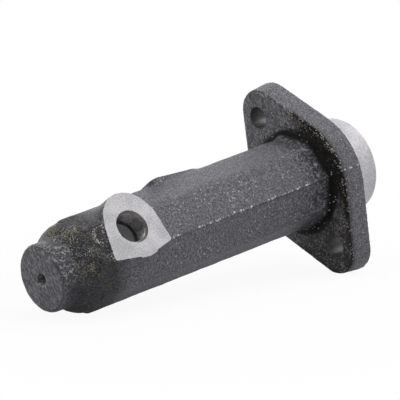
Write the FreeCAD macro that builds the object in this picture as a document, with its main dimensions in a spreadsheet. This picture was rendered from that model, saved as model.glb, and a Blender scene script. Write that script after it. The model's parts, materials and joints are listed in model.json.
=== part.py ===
# Clutch master cylinder: a cast iron barrel with a two-bolt flange, and the piston set inside it.
#
# Millimetres. The origin is the middle of the bore on the flange's mounting face. +X runs out
# through the spigot towards the pedal, the closed end lies at -X, and +Z is up: the reservoir pad
# and the upper bolt hole are there. The outlet pad faces -Y. Stations are distances from the
# mounting face into the barrel, so a station of 100 lies at x = -100.
import FreeCAD, Part
import math
import os
import re
import Sketcher

V = FreeCAD.Vector
TOUCH = 0.001

doc = FreeCAD.newDocument("clutch_master_cylinder")
sheet = doc.addObject("Spreadsheet::Sheet", "Sizes")

SIZES = [
    ("barrel_across_flats", 34.8, "octagon across its flats at the mounting face"),
    ("barrel_draft", 0.44, "degrees: the barrel narrows towards its closed end"),
    ("barrel_corner_radius", 4.0, "rounding of the octagon's long corners"),
    ("barrel_length", 137.9, "mounting face to the closed end"),
    ("shoulder_station", 124.5, "where the barrel starts to round over"),
    ("shoulder_radius", 7.8, "rounding of the barrel's closed end"),
    ("shoulder_run", 9.0, "length over which the corners fade into the shoulder"),
    ("shoulder_proud", 0.2, "the shoulder's rounding starts this far outside the flats"),
    ("end_boss_dia", 24.6, "turning boss on the closed end"),
    ("end_boss_root", 1.6, "fillet between the boss and the shoulder"),
    ("end_boss_edge", 0.9, "broken edge of the boss"),
    ("centre_dia", 4.2, "centre drilling in the boss, at its mouth"),
    ("centre_depth", 3.2, "centre drilling, depth to its point"),
    ("flange_thickness", 9.5, "mounting flange"),
    ("flange_bulge", 27.2, "radius of the flange's wide middle"),
    ("flange_tip", 10.8, "radius of the flange's two ends"),
    ("flange_tip_past", 0.9, "a bolt hole to the centre of its end's radius"),
    ("flange_skew", 3.1, "degrees: the cast outline stands off the line of the drilled holes"),
    ("flange_draft", 7.0, "degrees: the flange's edge leans in towards the barrel side"),
    ("flange_edge", 0.8, "rounding of the flange's edge on the barrel side"),
    ("flange_root", 4.5, "fillet between barrel and flange"),
    ("bolt_pitch", 60.0, "between the two bolt holes"),
    ("bolt_hole", 8.8, "clearance hole for an M8 bolt"),
    ("spigot_dia", 38.6, "turned spigot that locates in the bulkhead"),
    ("spigot_length", 17.0, "spigot beyond the mounting face"),
    ("spigot_chamfer", 1.0, "chamfer on the spigot's end"),
    ("outlet_station", 105.6, "outlet port"),
    ("outlet_rise", 1.8, "outlet port above the bore axis"),
    ("outlet_face", 17.2, "bore axis to the outlet's machined face"),
    ("outlet_pad_radius", 11.1, "round top of the outlet pad"),
    ("outlet_pad_lead", 0.8, "port axis to the centre of the round top, towards the flange"),
    ("outlet_pad_lift", 2.5, "port axis up to the centre of the round top"),
    ("outlet_pad_foot", 9.8, "port axis down to the pad's two lower corners"),
    ("outlet_pad_keel", 12.3, "port axis down to the blunt point between those corners"),
    ("outlet_pad_ahead", 13.8, "port axis to the pad's corner towards the closed end"),
    ("outlet_pad_behind", 12.5, "port axis to the pad's corner towards the flange"),
    ("outlet_pad_depth", 9.0, "how far the pad runs into the barrel"),
    ("pad_draft", 3.0, "degrees: draft of both pads"),
    ("port_thread", 12.0, "fine port thread, outside diameter"),
    ("port_pitch", 1.0, "fine port thread, pitch"),
    ("port_chamfer", 0.7, "port mouth chamfer beyond the thread's outside"),
    ("outlet_depth", 8.9, "outlet face to its flat seat"),
    ("outlet_drill", 3.0, "drilling from the outlet seat into the spring pocket"),
    ("inlet_station", 67.0, "inlet port on top, fed by the reservoir"),
    ("inlet_face", 18.0, "bore axis to the inlet's machined face"),
    ("inlet_pad_ahead", 14.0, "inlet axis to the pad's square end"),
    ("inlet_pad_behind", 16.0, "inlet axis to the pad's narrow end"),
    ("inlet_pad_wide", 21.0, "inlet pad's width at its square end"),
    ("inlet_pad_narrow", 7.0, "inlet pad's width at its narrow end"),
    ("inlet_pad_corner", 3.0, "corner rounding of the inlet pad"),
    ("inlet_pad_depth", 7.0, "how far the inlet pad runs into the barrel"),
    ("inlet_pad_slope", 8.0, "length over which the narrow end slopes down to the barrel"),
    ("inlet_pad_drop", 0.9, "how far it slopes down"),
    ("inlet_floor", 2.0, "metal left between the inlet port and the bore"),
    ("compensating_hole", 0.8, "bleed drilling ahead of the primary cup"),
    ("feed_hole", 2.4, "drilling that feeds the piston's waist"),
    ("feed_spacing", 4.4, "inlet axis to each of the two drillings"),
    ("bore_dia", 19.05, "three-quarter inch bore"),
    ("bore_end", 97.0, "station where the main bore ends"),
    ("pocket_dia", 11.0, "spring pocket beyond the main bore"),
    ("pocket_end", 114.0, "station of the spring pocket's floor"),
    ("mouth_dia", 26.0, "counterbore in the spigot"),
    ("mouth_seat", 8.0, "counterbore floor, beyond the mounting face"),
    ("mouth_chamfer", 1.2, "lead-in from the counterbore to the bore"),
    ("mouth_edge", 0.5, "broken edge of the counterbore at the spigot's end"),
    ("cut_overrun", 1.0, "how far a cut's outline runs past the metal"),
    ("clip_thickness", 1.2, "circlip"),
    ("clip_groove", 0.7, "depth of the circlip's groove"),
    ("clip_band", 2.4, "radial width of the circlip opposite its gap"),
    ("clip_eye", 2.0, "hole in each circlip eye"),
    ("clip_lug", 2.5, "radius of each circlip eye's lug"),
    ("clip_gap", 44.0, "degrees: between the circlip's two eyes"),
    ("clip_slack", 0.05, "circlip to its groove"),
    ("washer_thickness", 1.5, "stop washer"),
    ("washer_hole", 13.0, "hole in the stop washer for the push rod"),
    ("washer_slack", 0.1, "stop washer to the counterbore, radial"),
    ("running_gap", 0.05, "piston and cups to the bore, radial"),
    ("seat_gap", 0.03, "between pieces that seat on each other in the bore"),
    ("cup_length", 4.0, "primary cup along the bore"),
    ("cup_heel", 1.8, "solid back of the primary cup"),
    ("cup_lip", 2.2, "thickness of a cup's lip at its root"),
    ("lip_edge", 0.8, "thickness of a cup's lip at its end"),
    ("cup_ahead", 0.3, "compensating hole to the primary cup's lip, at rest"),
    ("shim_thickness", 0.25, "washer between the primary cup and the piston"),
    ("shim_dia", 17.0, "outside of that washer"),
    ("head_land", 3.0, "piston head that carries the primary cup"),
    ("head_holes", 1.3, "six drillings through the piston head"),
    ("head_hole_circle", 14.4, "circle of the six drillings"),
    ("waist_dia", 11.4, "piston between its lands"),
    ("rear_land", 22.0, "length of the piston's rear land"),
    ("groove_width", 4.6, "groove for the secondary cup"),
    ("groove_dia", 12.8, "floor of that groove"),
    ("groove_setback", 11.0, "that groove to the piston's rear end"),
    ("seal_slack", 0.15, "secondary cup to each side of its groove"),
    ("seal_root", 0.6, "how far the secondary cup's inner wall thickens at its root"),
    ("seal_step", 0.5, "secondary cup's inner wall short of its lip"),
    ("land_chamfer", 0.5, "chamfers on the piston's lands"),
    ("socket_dia", 10.0, "push-rod socket in the piston's rear end"),
    ("socket_depth", 9.0, "straight part of the push-rod socket"),
    ("stop_gap", 0.03, "piston to its stop washer, at rest"),
    ("spring_outside", 9.6, "return spring over its coils"),
    ("spring_wire", 1.3, "return spring wire"),
    ("spring_turns", 11.0, "return spring turns"),
    ("spring_gap", 0.05, "return spring to its seats"),
    ("retainer_dia", 12.6, "spring retainer's flange"),
    ("retainer_sheet", 0.8, "spring retainer's sheet"),
    ("retainer_nose", 4.5, "spring retainer's nose into the spring"),
    ("retainer_play", 0.25, "retainer's nose to the inside of the spring, radial"),
    ("retainer_edge", 0.6, "chamfer on the retainer's nose"),
]

# Places that follow from the sizes.
PLACES = [
    ("bore_radius", "bore_dia / 2"),
    ("mouth_radius", "mouth_dia / 2"),
    ("port_minor", "port_thread - 1.0825 * port_pitch"),
    ("port_mouth", "port_thread + 2 * port_chamfer"),
    ("end_flat", "barrel_across_flats / 2 - shoulder_station * tan(barrel_draft)"),
    ("shoulder_flat", "end_flat + shoulder_proud"),
    ("past_end", "barrel_length + cut_overrun"),
    ("boss_radius", "end_boss_dia / 2"),
    ("flange_tip_offset", "bolt_pitch / 2 + flange_tip_past"),
    ("inlet_pad_front", "inlet_station + inlet_pad_ahead"),
    ("inlet_pad_back", "inlet_station - inlet_pad_behind"),
    ("compensating_station", "inlet_station + feed_spacing"),
    ("feed_station", "inlet_station - feed_spacing"),
    ("lip_station", "compensating_station - compensating_hole / 2 - cup_ahead"),
    ("heel_station", "lip_station - cup_length"),
    ("cup_floor", "heel_station + cup_heel"),
    ("retainer_back", "cup_floor + seat_gap"),
    ("retainer_front", "retainer_back + retainer_sheet"),
    ("retainer_tip", "retainer_front + retainer_nose"),
    ("nose_radius", "spring_outside / 2 - spring_wire - retainer_play"),
    ("shim_front", "heel_station - seat_gap"),
    ("shim_back", "shim_front - shim_thickness"),
    ("head_front", "shim_back - seat_gap"),
    ("head_back", "head_front - head_land"),
    ("piston_radius", "bore_radius - running_gap"),
    ("piston_back", "mouth_seat - stop_gap"),
    ("land_front", "piston_back - rear_land"),
    ("groove_rear", "piston_back - groove_setback"),
    ("groove_front", "groove_rear - groove_width"),
    ("seal_rear", "groove_rear - seal_slack"),
    ("seal_front", "groove_front + seal_slack"),
    ("seal_inside", "groove_dia / 2 + seat_gap"),
    ("washer_rear", "mouth_seat + washer_thickness"),
    ("clip_front", "washer_rear + clip_slack"),
    ("clip_rear", "clip_front + clip_thickness"),
    ("groove_radius", "mouth_radius + clip_groove"),
    ("clip_outside", "groove_radius - clip_slack"),
    ("clip_shift", "clip_band / 4"),
    ("clip_inside", "clip_outside - clip_band + clip_shift"),
    ("eye_ring", "clip_outside - clip_lug"),
    ("spring_start", "pocket_end - spring_gap - spring_wire / 2"),
    ("spring_finish", "retainer_front + spring_gap + spring_wire / 2"),
    ("inlet_bottom", "bore_radius + inlet_floor"),
]
ALIASES = {alias for alias, *rest in SIZES + PLACES}

for row, (alias, value, meaning) in enumerate(SIZES, start=1):
    sheet.set(f"A{row}", meaning)
    sheet.set(f"B{row}", str(value))
    sheet.setAlias(f"B{row}", alias)
for row, (alias, formula) in enumerate(PLACES, start=len(SIZES) + 2):
    sheet.set(f"A{row}", alias.replace("_", " "))
    sheet.set(f"B{row}", "=" + formula)
    sheet.setAlias(f"B{row}", alias)
doc.recompute()


def size(expression):
    """The value of an expression in the sheet's names."""
    return float(sheet.evalExpression(expression))


def bound(expression):
    """The same expression as another object reads it, with the sheet's name before each size."""
    def named(word):
        return f"Sizes.{word[0]}" if word[0] in ALIASES else word[0]

    return re.sub(r"[a-z_]+", named, expression)


def new_body(name):
    body = doc.addObject("PartDesign::Body", name)
    body.Label = name
    return body


def origin_feature(body, role):
    return next(item for item in body.Origin.OriginFeatures if item.Role == role)


def sketch_on(body, role, name, offset=None):
    """A sketch on one of the body's own planes, moved along that plane's normal."""
    sketch = body.newObject("Sketcher::SketchObject", name)
    sketch.AttachmentSupport = [(origin_feature(body, role), "")]
    sketch.MapMode = "FlatFace"
    if offset:
        sketch.setExpression("AttachmentOffset.Base.z", bound(offset))
    return sketch


def relate(sketch, kind, *parts):
    sketch.addConstraint(Sketcher.Constraint(kind, *parts))


def bind(sketch, kind, parts, name, expression):
    """A dimension whose value is an expression in the sheet's names."""
    index = sketch.addConstraint(Sketcher.Constraint(kind, *parts, size(expression)))
    sketch.renameConstraint(index, name)
    sketch.setExpression(f"Constraints.{name}", bound(expression))


def place_point(sketch, geometry, end, name, across, up):
    """Ties one point of a sketch to two expressions, or to an axis where one of them is 0."""
    if across == "0":
        relate(sketch, "PointOnObject", geometry, end, -2)
    else:
        bind(sketch, "DistanceX", (-1, 1, geometry, end), f"{name}_across", across)
    if up == "0":
        relate(sketch, "PointOnObject", geometry, end, -1)
    else:
        bind(sketch, "DistanceY", (-1, 1, geometry, end), f"{name}_up", up)


def add_line(sketch, start, end):
    return sketch.addGeometry(Part.LineSegment(start, end), False)


def add_arc(sketch, centre, radius, start, end):
    circle = Part.Circle(centre, V(0, 0, 1), radius)
    return sketch.addGeometry(Part.ArcOfCircle(circle, start, end), False)


def outline(sketch, corners):
    """A closed outline of straight lines, each corner a pair of expressions."""
    points = [V(size(across), size(up), 0) for across, up in corners]
    count = len(points)
    for index in range(count):
        add_line(sketch, points[index], points[(index + 1) % count])
    for index in range(count):
        relate(sketch, "Coincident", index, 2, (index + 1) % count, 1)
    for index, (across, up) in enumerate(corners):
        place_point(sketch, index, 1, f"corner_{index}", across, up)


def disc(sketch, diameter, across="0", up="0", name="disc"):
    """A circle whose diameter and centre are expressions."""
    centre = V(size(across), size(up), 0)
    index = sketch.addGeometry(Part.Circle(centre, V(0, 0, 1), size(diameter) / 2), False)
    bind(sketch, "Diameter", (index,), f"{name}_dia", diameter)
    place_point(sketch, index, 3, name, across, up)


def pad(body, sketch, length, reverse=False, taper=None):
    feature = body.newObject("PartDesign::Pad", sketch.Name + "_pad")
    feature.Profile = sketch
    feature.Reversed = reverse
    feature.setExpression("Length", bound(length))
    if taper:
        feature.setExpression("TaperAngle", bound(taper))
    doc.recompute()
    return feature


def pocket(body, sketch, length, reverse=False):
    feature = body.newObject("PartDesign::Pocket", sketch.Name + "_pocket")
    feature.Profile = sketch
    feature.Reversed = reverse
    feature.setExpression("Length", bound(length))
    doc.recompute()
    return feature


def turned(body, sketch, kind="PartDesign::Revolution"):
    """A full turn about the bore axis, added to the body or, as a Groove, cut from it."""
    feature = body.newObject(kind, sketch.Name + "_turned")
    feature.Profile = sketch
    feature.ReferenceAxis = (origin_feature(body, "X_Axis"), [""])
    feature.Angle = 360
    doc.recompute()
    return feature


def turned_piece(name, corners):
    """A piece that is one turned section."""
    body = new_body(name)
    section = sketch_on(body, "XZ_Plane", name + "_section")
    outline(section, corners)
    turned(body, section)
    return body


def dress(body, kind, name, base, test, prop, value):
    """A fillet or a chamfer on those edges of a feature that a test accepts."""
    edges = [f"Edge{number}" for number, edge in enumerate(base.Shape.Edges, start=1) if test(edge)]
    if not edges:
        raise RuntimeError(f"{name} found no edge")
    feature = body.newObject(f"PartDesign::{kind}", name)
    feature.Base = (base, edges)
    feature.setExpression(prop, bound(value))
    doc.recompute()
    return feature


def lies_at(edge, x):
    """Whether an edge lies in the plane at x."""
    box = edge.BoundBox
    return abs(box.XMin - x) < TOUCH and abs(box.XMax - x) < TOUCH


def reach(edge):
    """The furthest that an edge comes from the bore axis, at its ends and its middle."""
    first, last = edge.ParameterRange
    points = [edge.valueAt(first + (last - first) * share) for share in (0, 0.5, 1)]
    return max(math.hypot(point.y, point.z) for point in points)


def octagon(sketch, across_flats):
    """A regular octagon with level flats: equal sides with their ends on one circle."""
    corner = size(across_flats) / 2 / math.cos(math.pi / 8)
    points = []
    for step in range(8):
        angle = math.pi / 8 + step * math.pi / 4
        points.append(V(corner * math.cos(angle), corner * math.sin(angle), 0))
    for step in range(8):
        add_line(sketch, points[step], points[(step + 1) % 8])
    ring = sketch.addGeometry(Part.Circle(V(0, 0, 0), V(0, 0, 1), corner), True)
    relate(sketch, "Coincident", ring, 3, -1, 1)
    for step in range(8):
        relate(sketch, "Coincident", step, 2, (step + 1) % 8, 1)
        relate(sketch, "PointOnObject", step, 1, ring)
    for step in range(1, 8):
        relate(sketch, "Equal", 0, step)
    relate(sketch, "Horizontal", 1)
    bind(sketch, "DistanceY", (5, 1, 1, 1), "across_flats", across_flats)


def flange_outline(sketch):
    """Two tip arcs and two wide arcs about the bore, joined by four tangent lines."""
    bulge = size("flange_bulge")
    tip = size("flange_tip")
    offset = size("flange_tip_offset")
    lean = math.acos((bulge - tip) / offset)
    quarter = math.pi / 2

    def tangent_line(angle, start_up, start_radius, end_up, end_radius):
        outwards = V(math.cos(angle), math.sin(angle), 0)
        start = V(0, start_up, 0) + outwards * start_radius
        end = V(0, end_up, 0) + outwards * end_radius
        return add_line(sketch, start, end)

    top = add_arc(sketch, V(0, offset, 0), tip, quarter - lean, quarter + lean)
    run = [top, tangent_line(quarter + lean, offset, tip, 0, bulge)]
    left = add_arc(sketch, V(0, 0, 0), bulge, quarter + lean, 3 * quarter - lean)
    run += [left, tangent_line(3 * quarter - lean, 0, bulge, -offset, tip)]
    bottom = add_arc(sketch, V(0, -offset, 0), tip, 3 * quarter - lean, 3 * quarter + lean)
    run += [bottom, tangent_line(3 * quarter + lean, -offset, tip, 0, bulge)]
    right = add_arc(sketch, V(0, 0, 0), bulge, 3 * quarter + lean, 5 * quarter - lean)
    run += [right, tangent_line(5 * quarter - lean, 0, bulge, offset, tip)]
    for index, item in enumerate(run):
        relate(sketch, "Tangent", item, 2, run[(index + 1) % len(run)], 1)
    relate(sketch, "Coincident", left, 3, -1, 1)
    relate(sketch, "Coincident", right, 3, -1, 1)
    relate(sketch, "Equal", top, bottom)
    place_point(sketch, top, 3, "top_tip", "0", "flange_tip_offset")
    place_point(sketch, bottom, 3, "bottom_tip", "0", "-1 * flange_tip_offset")
    bind(sketch, "Radius", (top,), "tip_radius", "flange_tip")
    bind(sketch, "Radius", (left,), "bulge_radius", "flange_bulge")


def closed_end_outline(sketch):
    """What is cut away round the end boss, so that ramp, shoulder, fillet and boss are left."""
    start = size("shoulder_station")
    shoulder = size("shoulder_radius")
    root = size("end_boss_root")
    boss = size("boss_radius")
    shoulder_centre = V(-start, size("shoulder_flat") - shoulder, 0)
    drop = boss + root - shoulder_centre.y
    run = math.sqrt((shoulder + root) ** 2 - drop ** 2)
    lean = math.atan2(drop, -run)
    root_centre = V(-start - run, boss + root, 0)
    outside = size("barrel_across_flats")
    far = -size("past_end")
    edge = size("end_boss_edge")
    ramp_top = V(-start + size("shoulder_run"), outside, 0)
    shoulder_top = V(-start, shoulder_centre.y + shoulder, 0)
    boss_root = V(root_centre.x, boss, 0)
    boss_corner = V(edge - size("barrel_length"), boss, 0)
    boss_face = V(far, boss - edge - size("cut_overrun"), 0)
    far_corner = V(far, outside, 0)
    ramp = add_line(sketch, ramp_top, shoulder_top)
    rounding = add_arc(sketch, shoulder_centre, shoulder, math.pi / 2, lean)
    fillet = add_arc(sketch, root_centre, root, 1.5 * math.pi, lean + math.pi)
    boss_side = add_line(sketch, boss_root, boss_corner)
    bevel = add_line(sketch, boss_corner, boss_face)
    back = add_line(sketch, boss_face, far_corner)
    roof = add_line(sketch, far_corner, ramp_top)
    relate(sketch, "Coincident", ramp, 2, rounding, 1)
    relate(sketch, "Vertical", rounding, 3, rounding, 1)
    relate(sketch, "Tangent", rounding, 2, fillet, 2)
    relate(sketch, "Tangent", fillet, 1, boss_side, 1)
    relate(sketch, "Coincident", boss_side, 2, bevel, 1)
    relate(sketch, "Coincident", bevel, 2, back, 1)
    relate(sketch, "Coincident", back, 2, roof, 1)
    relate(sketch, "Coincident", roof, 2, ramp, 1)
    relate(sketch, "Horizontal", boss_side)
    centre_up = "shoulder_flat - shoulder_radius"
    place_point(sketch, rounding, 3, "shoulder", "-1 * shoulder_station", centre_up)
    bind(sketch, "Radius", (rounding,), "shoulder_radius", "shoulder_radius")
    bind(sketch, "Radius", (fillet,), "root_radius", "end_boss_root")
    place_point(sketch, bevel, 1, "boss_corner", "end_boss_edge - barrel_length", "boss_radius")
    face_up = "boss_radius - end_boss_edge - cut_overrun"
    place_point(sketch, back, 1, "boss_face", "-1 * past_end", face_up)
    place_point(sketch, roof, 1, "far_corner", "-1 * past_end", "barrel_across_flats")
    place_point(sketch, ramp, 1, "ramp_top", "shoulder_run - shoulder_station", "barrel_across_flats")


def outlet_pad_outline(sketch):
    """A round top over the port, and two sides that spread down to a base with a blunt point."""
    radius = size("outlet_pad_radius")
    places = [
        ("pad_centre", "outlet_pad_lead - outlet_station", "outlet_rise + outlet_pad_lift"),
        ("left_foot", "-1 * outlet_station - outlet_pad_ahead", "outlet_rise - outlet_pad_foot"),
        ("keel", "outlet_pad_lead - outlet_station", "outlet_rise - outlet_pad_keel"),
        ("right_foot", "outlet_pad_behind - outlet_station", "outlet_rise - outlet_pad_foot"),
    ]
    centre, left_foot, keel, right_foot = [V(size(across), size(up), 0) for name, across, up in places]

    def tangent_angle(foot, side):
        """Where a line from a foot touches the round top, as an angle about its centre."""
        away = foot - centre
        return math.atan2(away.y, away.x) + side * math.acos(radius / away.Length)

    start = tangent_angle(right_foot, 1)
    end = tangent_angle(left_foot, -1) + 2 * math.pi
    top = add_arc(sketch, centre, radius, start, end)
    left_top = centre + V(math.cos(end), math.sin(end), 0) * radius
    right_top = centre + V(math.cos(start), math.sin(start), 0) * radius
    left = add_line(sketch, left_top, left_foot)
    left_base = add_line(sketch, left_foot, keel)
    right_base = add_line(sketch, keel, right_foot)
    right = add_line(sketch, right_foot, right_top)
    relate(sketch, "Tangent", top, 2, left, 1)
    relate(sketch, "Coincident", left, 2, left_base, 1)
    relate(sketch, "Coincident", left_base, 2, right_base, 1)
    relate(sketch, "Coincident", right_base, 2, right, 1)
    relate(sketch, "Tangent", right, 2, top, 1)
    bind(sketch, "Radius", (top,), "pad_radius", "outlet_pad_radius")
    ends = [(top, 3), (left_base, 1), (right_base, 1), (right, 1)]
    for (geometry, point), (name, across, up) in zip(ends, places):
        place_point(sketch, geometry, point, name, across, up)


def cast_barrel(body):
    """The octagon barrel with its rounded corners and closed end."""
    section = sketch_on(body, "YZ_Plane", "barrel_section")
    octagon(section, "barrel_across_flats")
    barrel = pad(body, section, "barrel_length", reverse=True, taper="-1 * barrel_draft")

    def long_corner(edge):
        return edge.BoundBox.XLength > size("barrel_length") / 2

    dress(body, "Fillet", "barrel_corners", barrel, long_corner, "Radius", "barrel_corner_radius")
    shoulder = sketch_on(body, "XZ_Plane", "closed_end")
    closed_end_outline(shoulder)
    turned(body, shoulder, "PartDesign::Groove")


def cast_flange(body):
    """The flange with its drafted, rounded edge, its root fillet and the turned spigot."""
    plate = sketch_on(body, "YZ_Plane", "flange")
    plate.setExpression("AttachmentOffset.Rotation.Angle", bound("flange_skew"))
    flange_outline(plate)
    flange = pad(body, plate, "flange_thickness", reverse=True, taper="-1 * flange_draft")
    front = -size("flange_thickness")
    barrel_reach = size("barrel_across_flats") / 2 / math.cos(math.pi / 8)

    def outer_edge(edge):
        return lies_at(edge, front) and reach(edge) > barrel_reach

    def root_edge(edge):
        return lies_at(edge, front) and reach(edge) < barrel_reach

    rounded = dress(body, "Fillet", "flange_edge", flange, outer_edge, "Radius", "flange_edge")
    dress(body, "Fillet", "flange_root", rounded, root_edge, "Radius", "flange_root")
    turning = sketch_on(body, "YZ_Plane", "spigot")
    disc(turning, "spigot_dia")
    spigot = pad(body, turning, "spigot_length")

    def spigot_rim(edge):
        return lies_at(edge, size("spigot_length"))

    dress(body, "Chamfer", "spigot_rim", spigot, spigot_rim, "Size", "spigot_chamfer")
    drilling = sketch_on(body, "YZ_Plane", "bolt_holes")
    disc(drilling, "bolt_hole", "0", "bolt_pitch / 2", "upper")
    disc(drilling, "bolt_hole", "0", "-1 * bolt_pitch / 2", "lower")
    pocket(body, drilling, "flange_thickness")


def cast_pads(body):
    """The outlet pad on the side and the inlet pad on top."""
    outlet = sketch_on(body, "XZ_Plane", "outlet_pad", "outlet_face")
    outlet_pad_outline(outlet)
    pad(body, outlet, "outlet_pad_depth", reverse=True, taper="pad_draft")
    inlet = sketch_on(body, "XY_Plane", "inlet_pad", "inlet_face")
    outline(inlet, [
        ("-1 * inlet_pad_front", "-1 * inlet_pad_wide / 2"),
        ("-1 * inlet_pad_back", "-1 * inlet_pad_narrow / 2"),
        ("-1 * inlet_pad_back", "inlet_pad_narrow / 2"),
        ("-1 * inlet_pad_front", "inlet_pad_wide / 2"),
    ])
    block = pad(body, inlet, "inlet_pad_depth", reverse=True, taper="pad_draft")
    top = size("inlet_face")

    def upright_corner(edge):
        box = edge.BoundBox
        upright = box.ZLength > 4 * max(box.XLength, box.YLength)
        return upright and abs(box.ZMax - top) < TOUCH

    dress(body, "Fillet", "inlet_pad_corners", block, upright_corner, "Radius", "inlet_pad_corner")
    slope = sketch_on(body, "XZ_Plane", "inlet_slope", "inlet_pad_wide / 2")
    outline(slope, [
        ("-1 * inlet_pad_back - inlet_pad_slope", "inlet_face"),
        ("cut_overrun - inlet_pad_back", "inlet_face - inlet_pad_drop"),
        ("cut_overrun - inlet_pad_back", "inlet_face + cut_overrun"),
        ("-1 * inlet_pad_back - inlet_pad_slope", "inlet_face + cut_overrun"),
    ])
    pocket(body, slope, "inlet_pad_wide")


def bore_out(body):
    """Everything that is machined from the mouth: counterbore, clip groove, bore and spring pocket."""
    section = sketch_on(body, "XZ_Plane", "bore")
    outline(section, [
        ("spigot_length + cut_overrun", "0"),
        ("spigot_length + cut_overrun", "mouth_radius + mouth_edge + cut_overrun"),
        ("spigot_length - mouth_edge", "mouth_radius"),
        ("clip_rear + clip_slack", "mouth_radius"),
        ("clip_rear + clip_slack", "groove_radius"),
        ("washer_rear", "groove_radius"),
        ("washer_rear", "mouth_radius"),
        ("mouth_seat", "mouth_radius"),
        ("mouth_seat", "bore_radius + mouth_chamfer"),
        ("mouth_seat - 2 * mouth_chamfer", "bore_radius"),
        ("-1 * bore_end", "bore_radius"),
        ("-1 * bore_end", "pocket_dia / 2"),
        ("-1 * pocket_end", "pocket_dia / 2"),
        ("-1 * pocket_end", "0"),
    ])
    turned(body, section, "PartDesign::Groove")


def machine_port(body, role, name, across, up, depth):
    """A port's tapping hole and mouth chamfer, cut from its machined face."""
    hole = sketch_on(body, role, name + "_port", name + "_face")
    disc(hole, "port_minor", across, up, "port")
    drilled = pocket(body, hole, depth)
    level = size(name + "_face")

    def mouth(edge):
        curve = edge.Curve
        if not isinstance(curve, Part.Circle) or abs(curve.Radius - size("port_minor") / 2) > TOUCH:
            return False
        centre = curve.Center
        return abs(max(-centre.y, centre.z) - level) < TOUCH

    dress(body, "Chamfer", name + "_mouth", drilled, mouth, "Size", "(port_mouth - port_minor) / 2")


def drill_ports(body):
    """Both threaded ports, and the small drillings that join them to the bore."""
    machine_port(body, "XZ_Plane", "outlet", "-1 * outlet_station", "outlet_rise", "outlet_depth")
    machine_port(body, "XY_Plane", "inlet", "-1 * inlet_station", "0", "inlet_face - inlet_bottom")
    passage = sketch_on(body, "XZ_Plane", "outlet_passage", "outlet_face - outlet_depth")
    disc(passage, "outlet_drill", "-1 * outlet_station", "outlet_rise")
    pocket(body, passage, "outlet_face - outlet_depth")
    feeds = sketch_on(body, "XY_Plane", "feed_drillings", "inlet_bottom")
    disc(feeds, "compensating_hole", "-1 * compensating_station", "0", "compensating")
    disc(feeds, "feed_hole", "-1 * feed_station", "0", "feed")
    pocket(body, feeds, "inlet_bottom")


def drill_centre(body):
    """The turning centre in the end boss: a cone."""
    cone = sketch_on(body, "XZ_Plane", "centre_drilling")
    outline(cone, [
        ("-1 * barrel_length", "0"),
        ("-1 * barrel_length", "centre_dia / 2"),
        ("centre_depth - barrel_length", "0"),
    ])
    turned(body, cone, "PartDesign::Groove")


def make_cylinder_body():
    body = new_body("cylinder_body")
    cast_barrel(body)
    cast_flange(body)
    cast_pads(body)
    bore_out(body)
    drill_ports(body)
    drill_centre(body)
    return body


def make_piston():
    """Two lands on a waist, a groove for the secondary cup and a socket for the push rod."""
    body = new_body("piston")
    section = sketch_on(body, "XZ_Plane", "piston_section")
    socket = "piston_back - socket_depth"
    outline(section, [
        ("-1 * head_front", "0"),
        ("-1 * head_front", "piston_radius - land_chamfer"),
        ("land_chamfer - head_front", "piston_radius"),
        ("-1 * head_back", "piston_radius"),
        ("-1 * head_back", "waist_dia / 2"),
        ("land_front", "waist_dia / 2"),
        ("land_front", "piston_radius"),
        ("groove_front", "piston_radius"),
        ("groove_front", "groove_dia / 2"),
        ("groove_rear", "groove_dia / 2"),
        ("groove_rear", "piston_radius"),
        ("piston_back - land_chamfer", "piston_radius"),
        ("piston_back", "piston_radius - land_chamfer"),
        ("piston_back", "socket_dia / 2"),
        (socket, "socket_dia / 2"),
        (socket + " - socket_dia / 4", "socket_dia / 4"),
        (socket + " - socket_dia / 4", "0"),
    ])
    turned(body, section)
    drilling = sketch_on(body, "YZ_Plane", "head_drilling", "-1 * head_front")
    disc(drilling, "head_holes", "0", "head_hole_circle / 2")
    hole = pocket(body, drilling, "head_land", reverse=True)
    ring = body.newObject("PartDesign::PolarPattern", "head_drillings")
    ring.Originals = [hole]
    ring.Axis = (origin_feature(body, "X_Axis"), [""])
    ring.Occurrences = 6
    body.Tip = ring
    doc.recompute()
    return body


def make_cups_and_retainer():
    """The rubber cups, the thin washer behind the primary one and the spring's retainer."""
    primary = turned_piece("primary_cup", [
        ("-1 * heel_station", "0"),
        ("-1 * heel_station", "piston_radius"),
        ("-1 * lip_station", "piston_radius"),
        ("-1 * lip_station", "piston_radius - lip_edge"),
        ("-1 * cup_floor", "piston_radius - cup_lip"),
        ("-1 * cup_floor", "0"),
    ])
    shim = turned_piece("cup_washer", [
        ("-1 * shim_back", "0"),
        ("-1 * shim_back", "shim_dia / 2"),
        ("-1 * shim_front", "shim_dia / 2"),
        ("-1 * shim_front", "0"),
    ])
    secondary = turned_piece("secondary_cup", [
        ("seal_rear", "seal_inside"),
        ("seal_rear", "piston_radius"),
        ("seal_front", "piston_radius"),
        ("seal_front", "piston_radius - lip_edge"),
        ("seal_rear - cup_heel", "seal_inside + lip_edge + seal_root"),
        ("seal_front + seal_step", "seal_inside + lip_edge"),
        ("seal_front + seal_step", "seal_inside"),
    ])
    retainer = turned_piece("spring_retainer", [
        ("-1 * retainer_back", "0"),
        ("-1 * retainer_back", "retainer_dia / 2"),
        ("-1 * retainer_front", "retainer_dia / 2"),
        ("-1 * retainer_front", "nose_radius"),
        ("retainer_edge - retainer_tip", "nose_radius"),
        ("-1 * retainer_tip", "nose_radius - retainer_edge"),
        ("-1 * retainer_tip", "0"),
    ])
    return [primary, shim, secondary, retainer]


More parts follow.
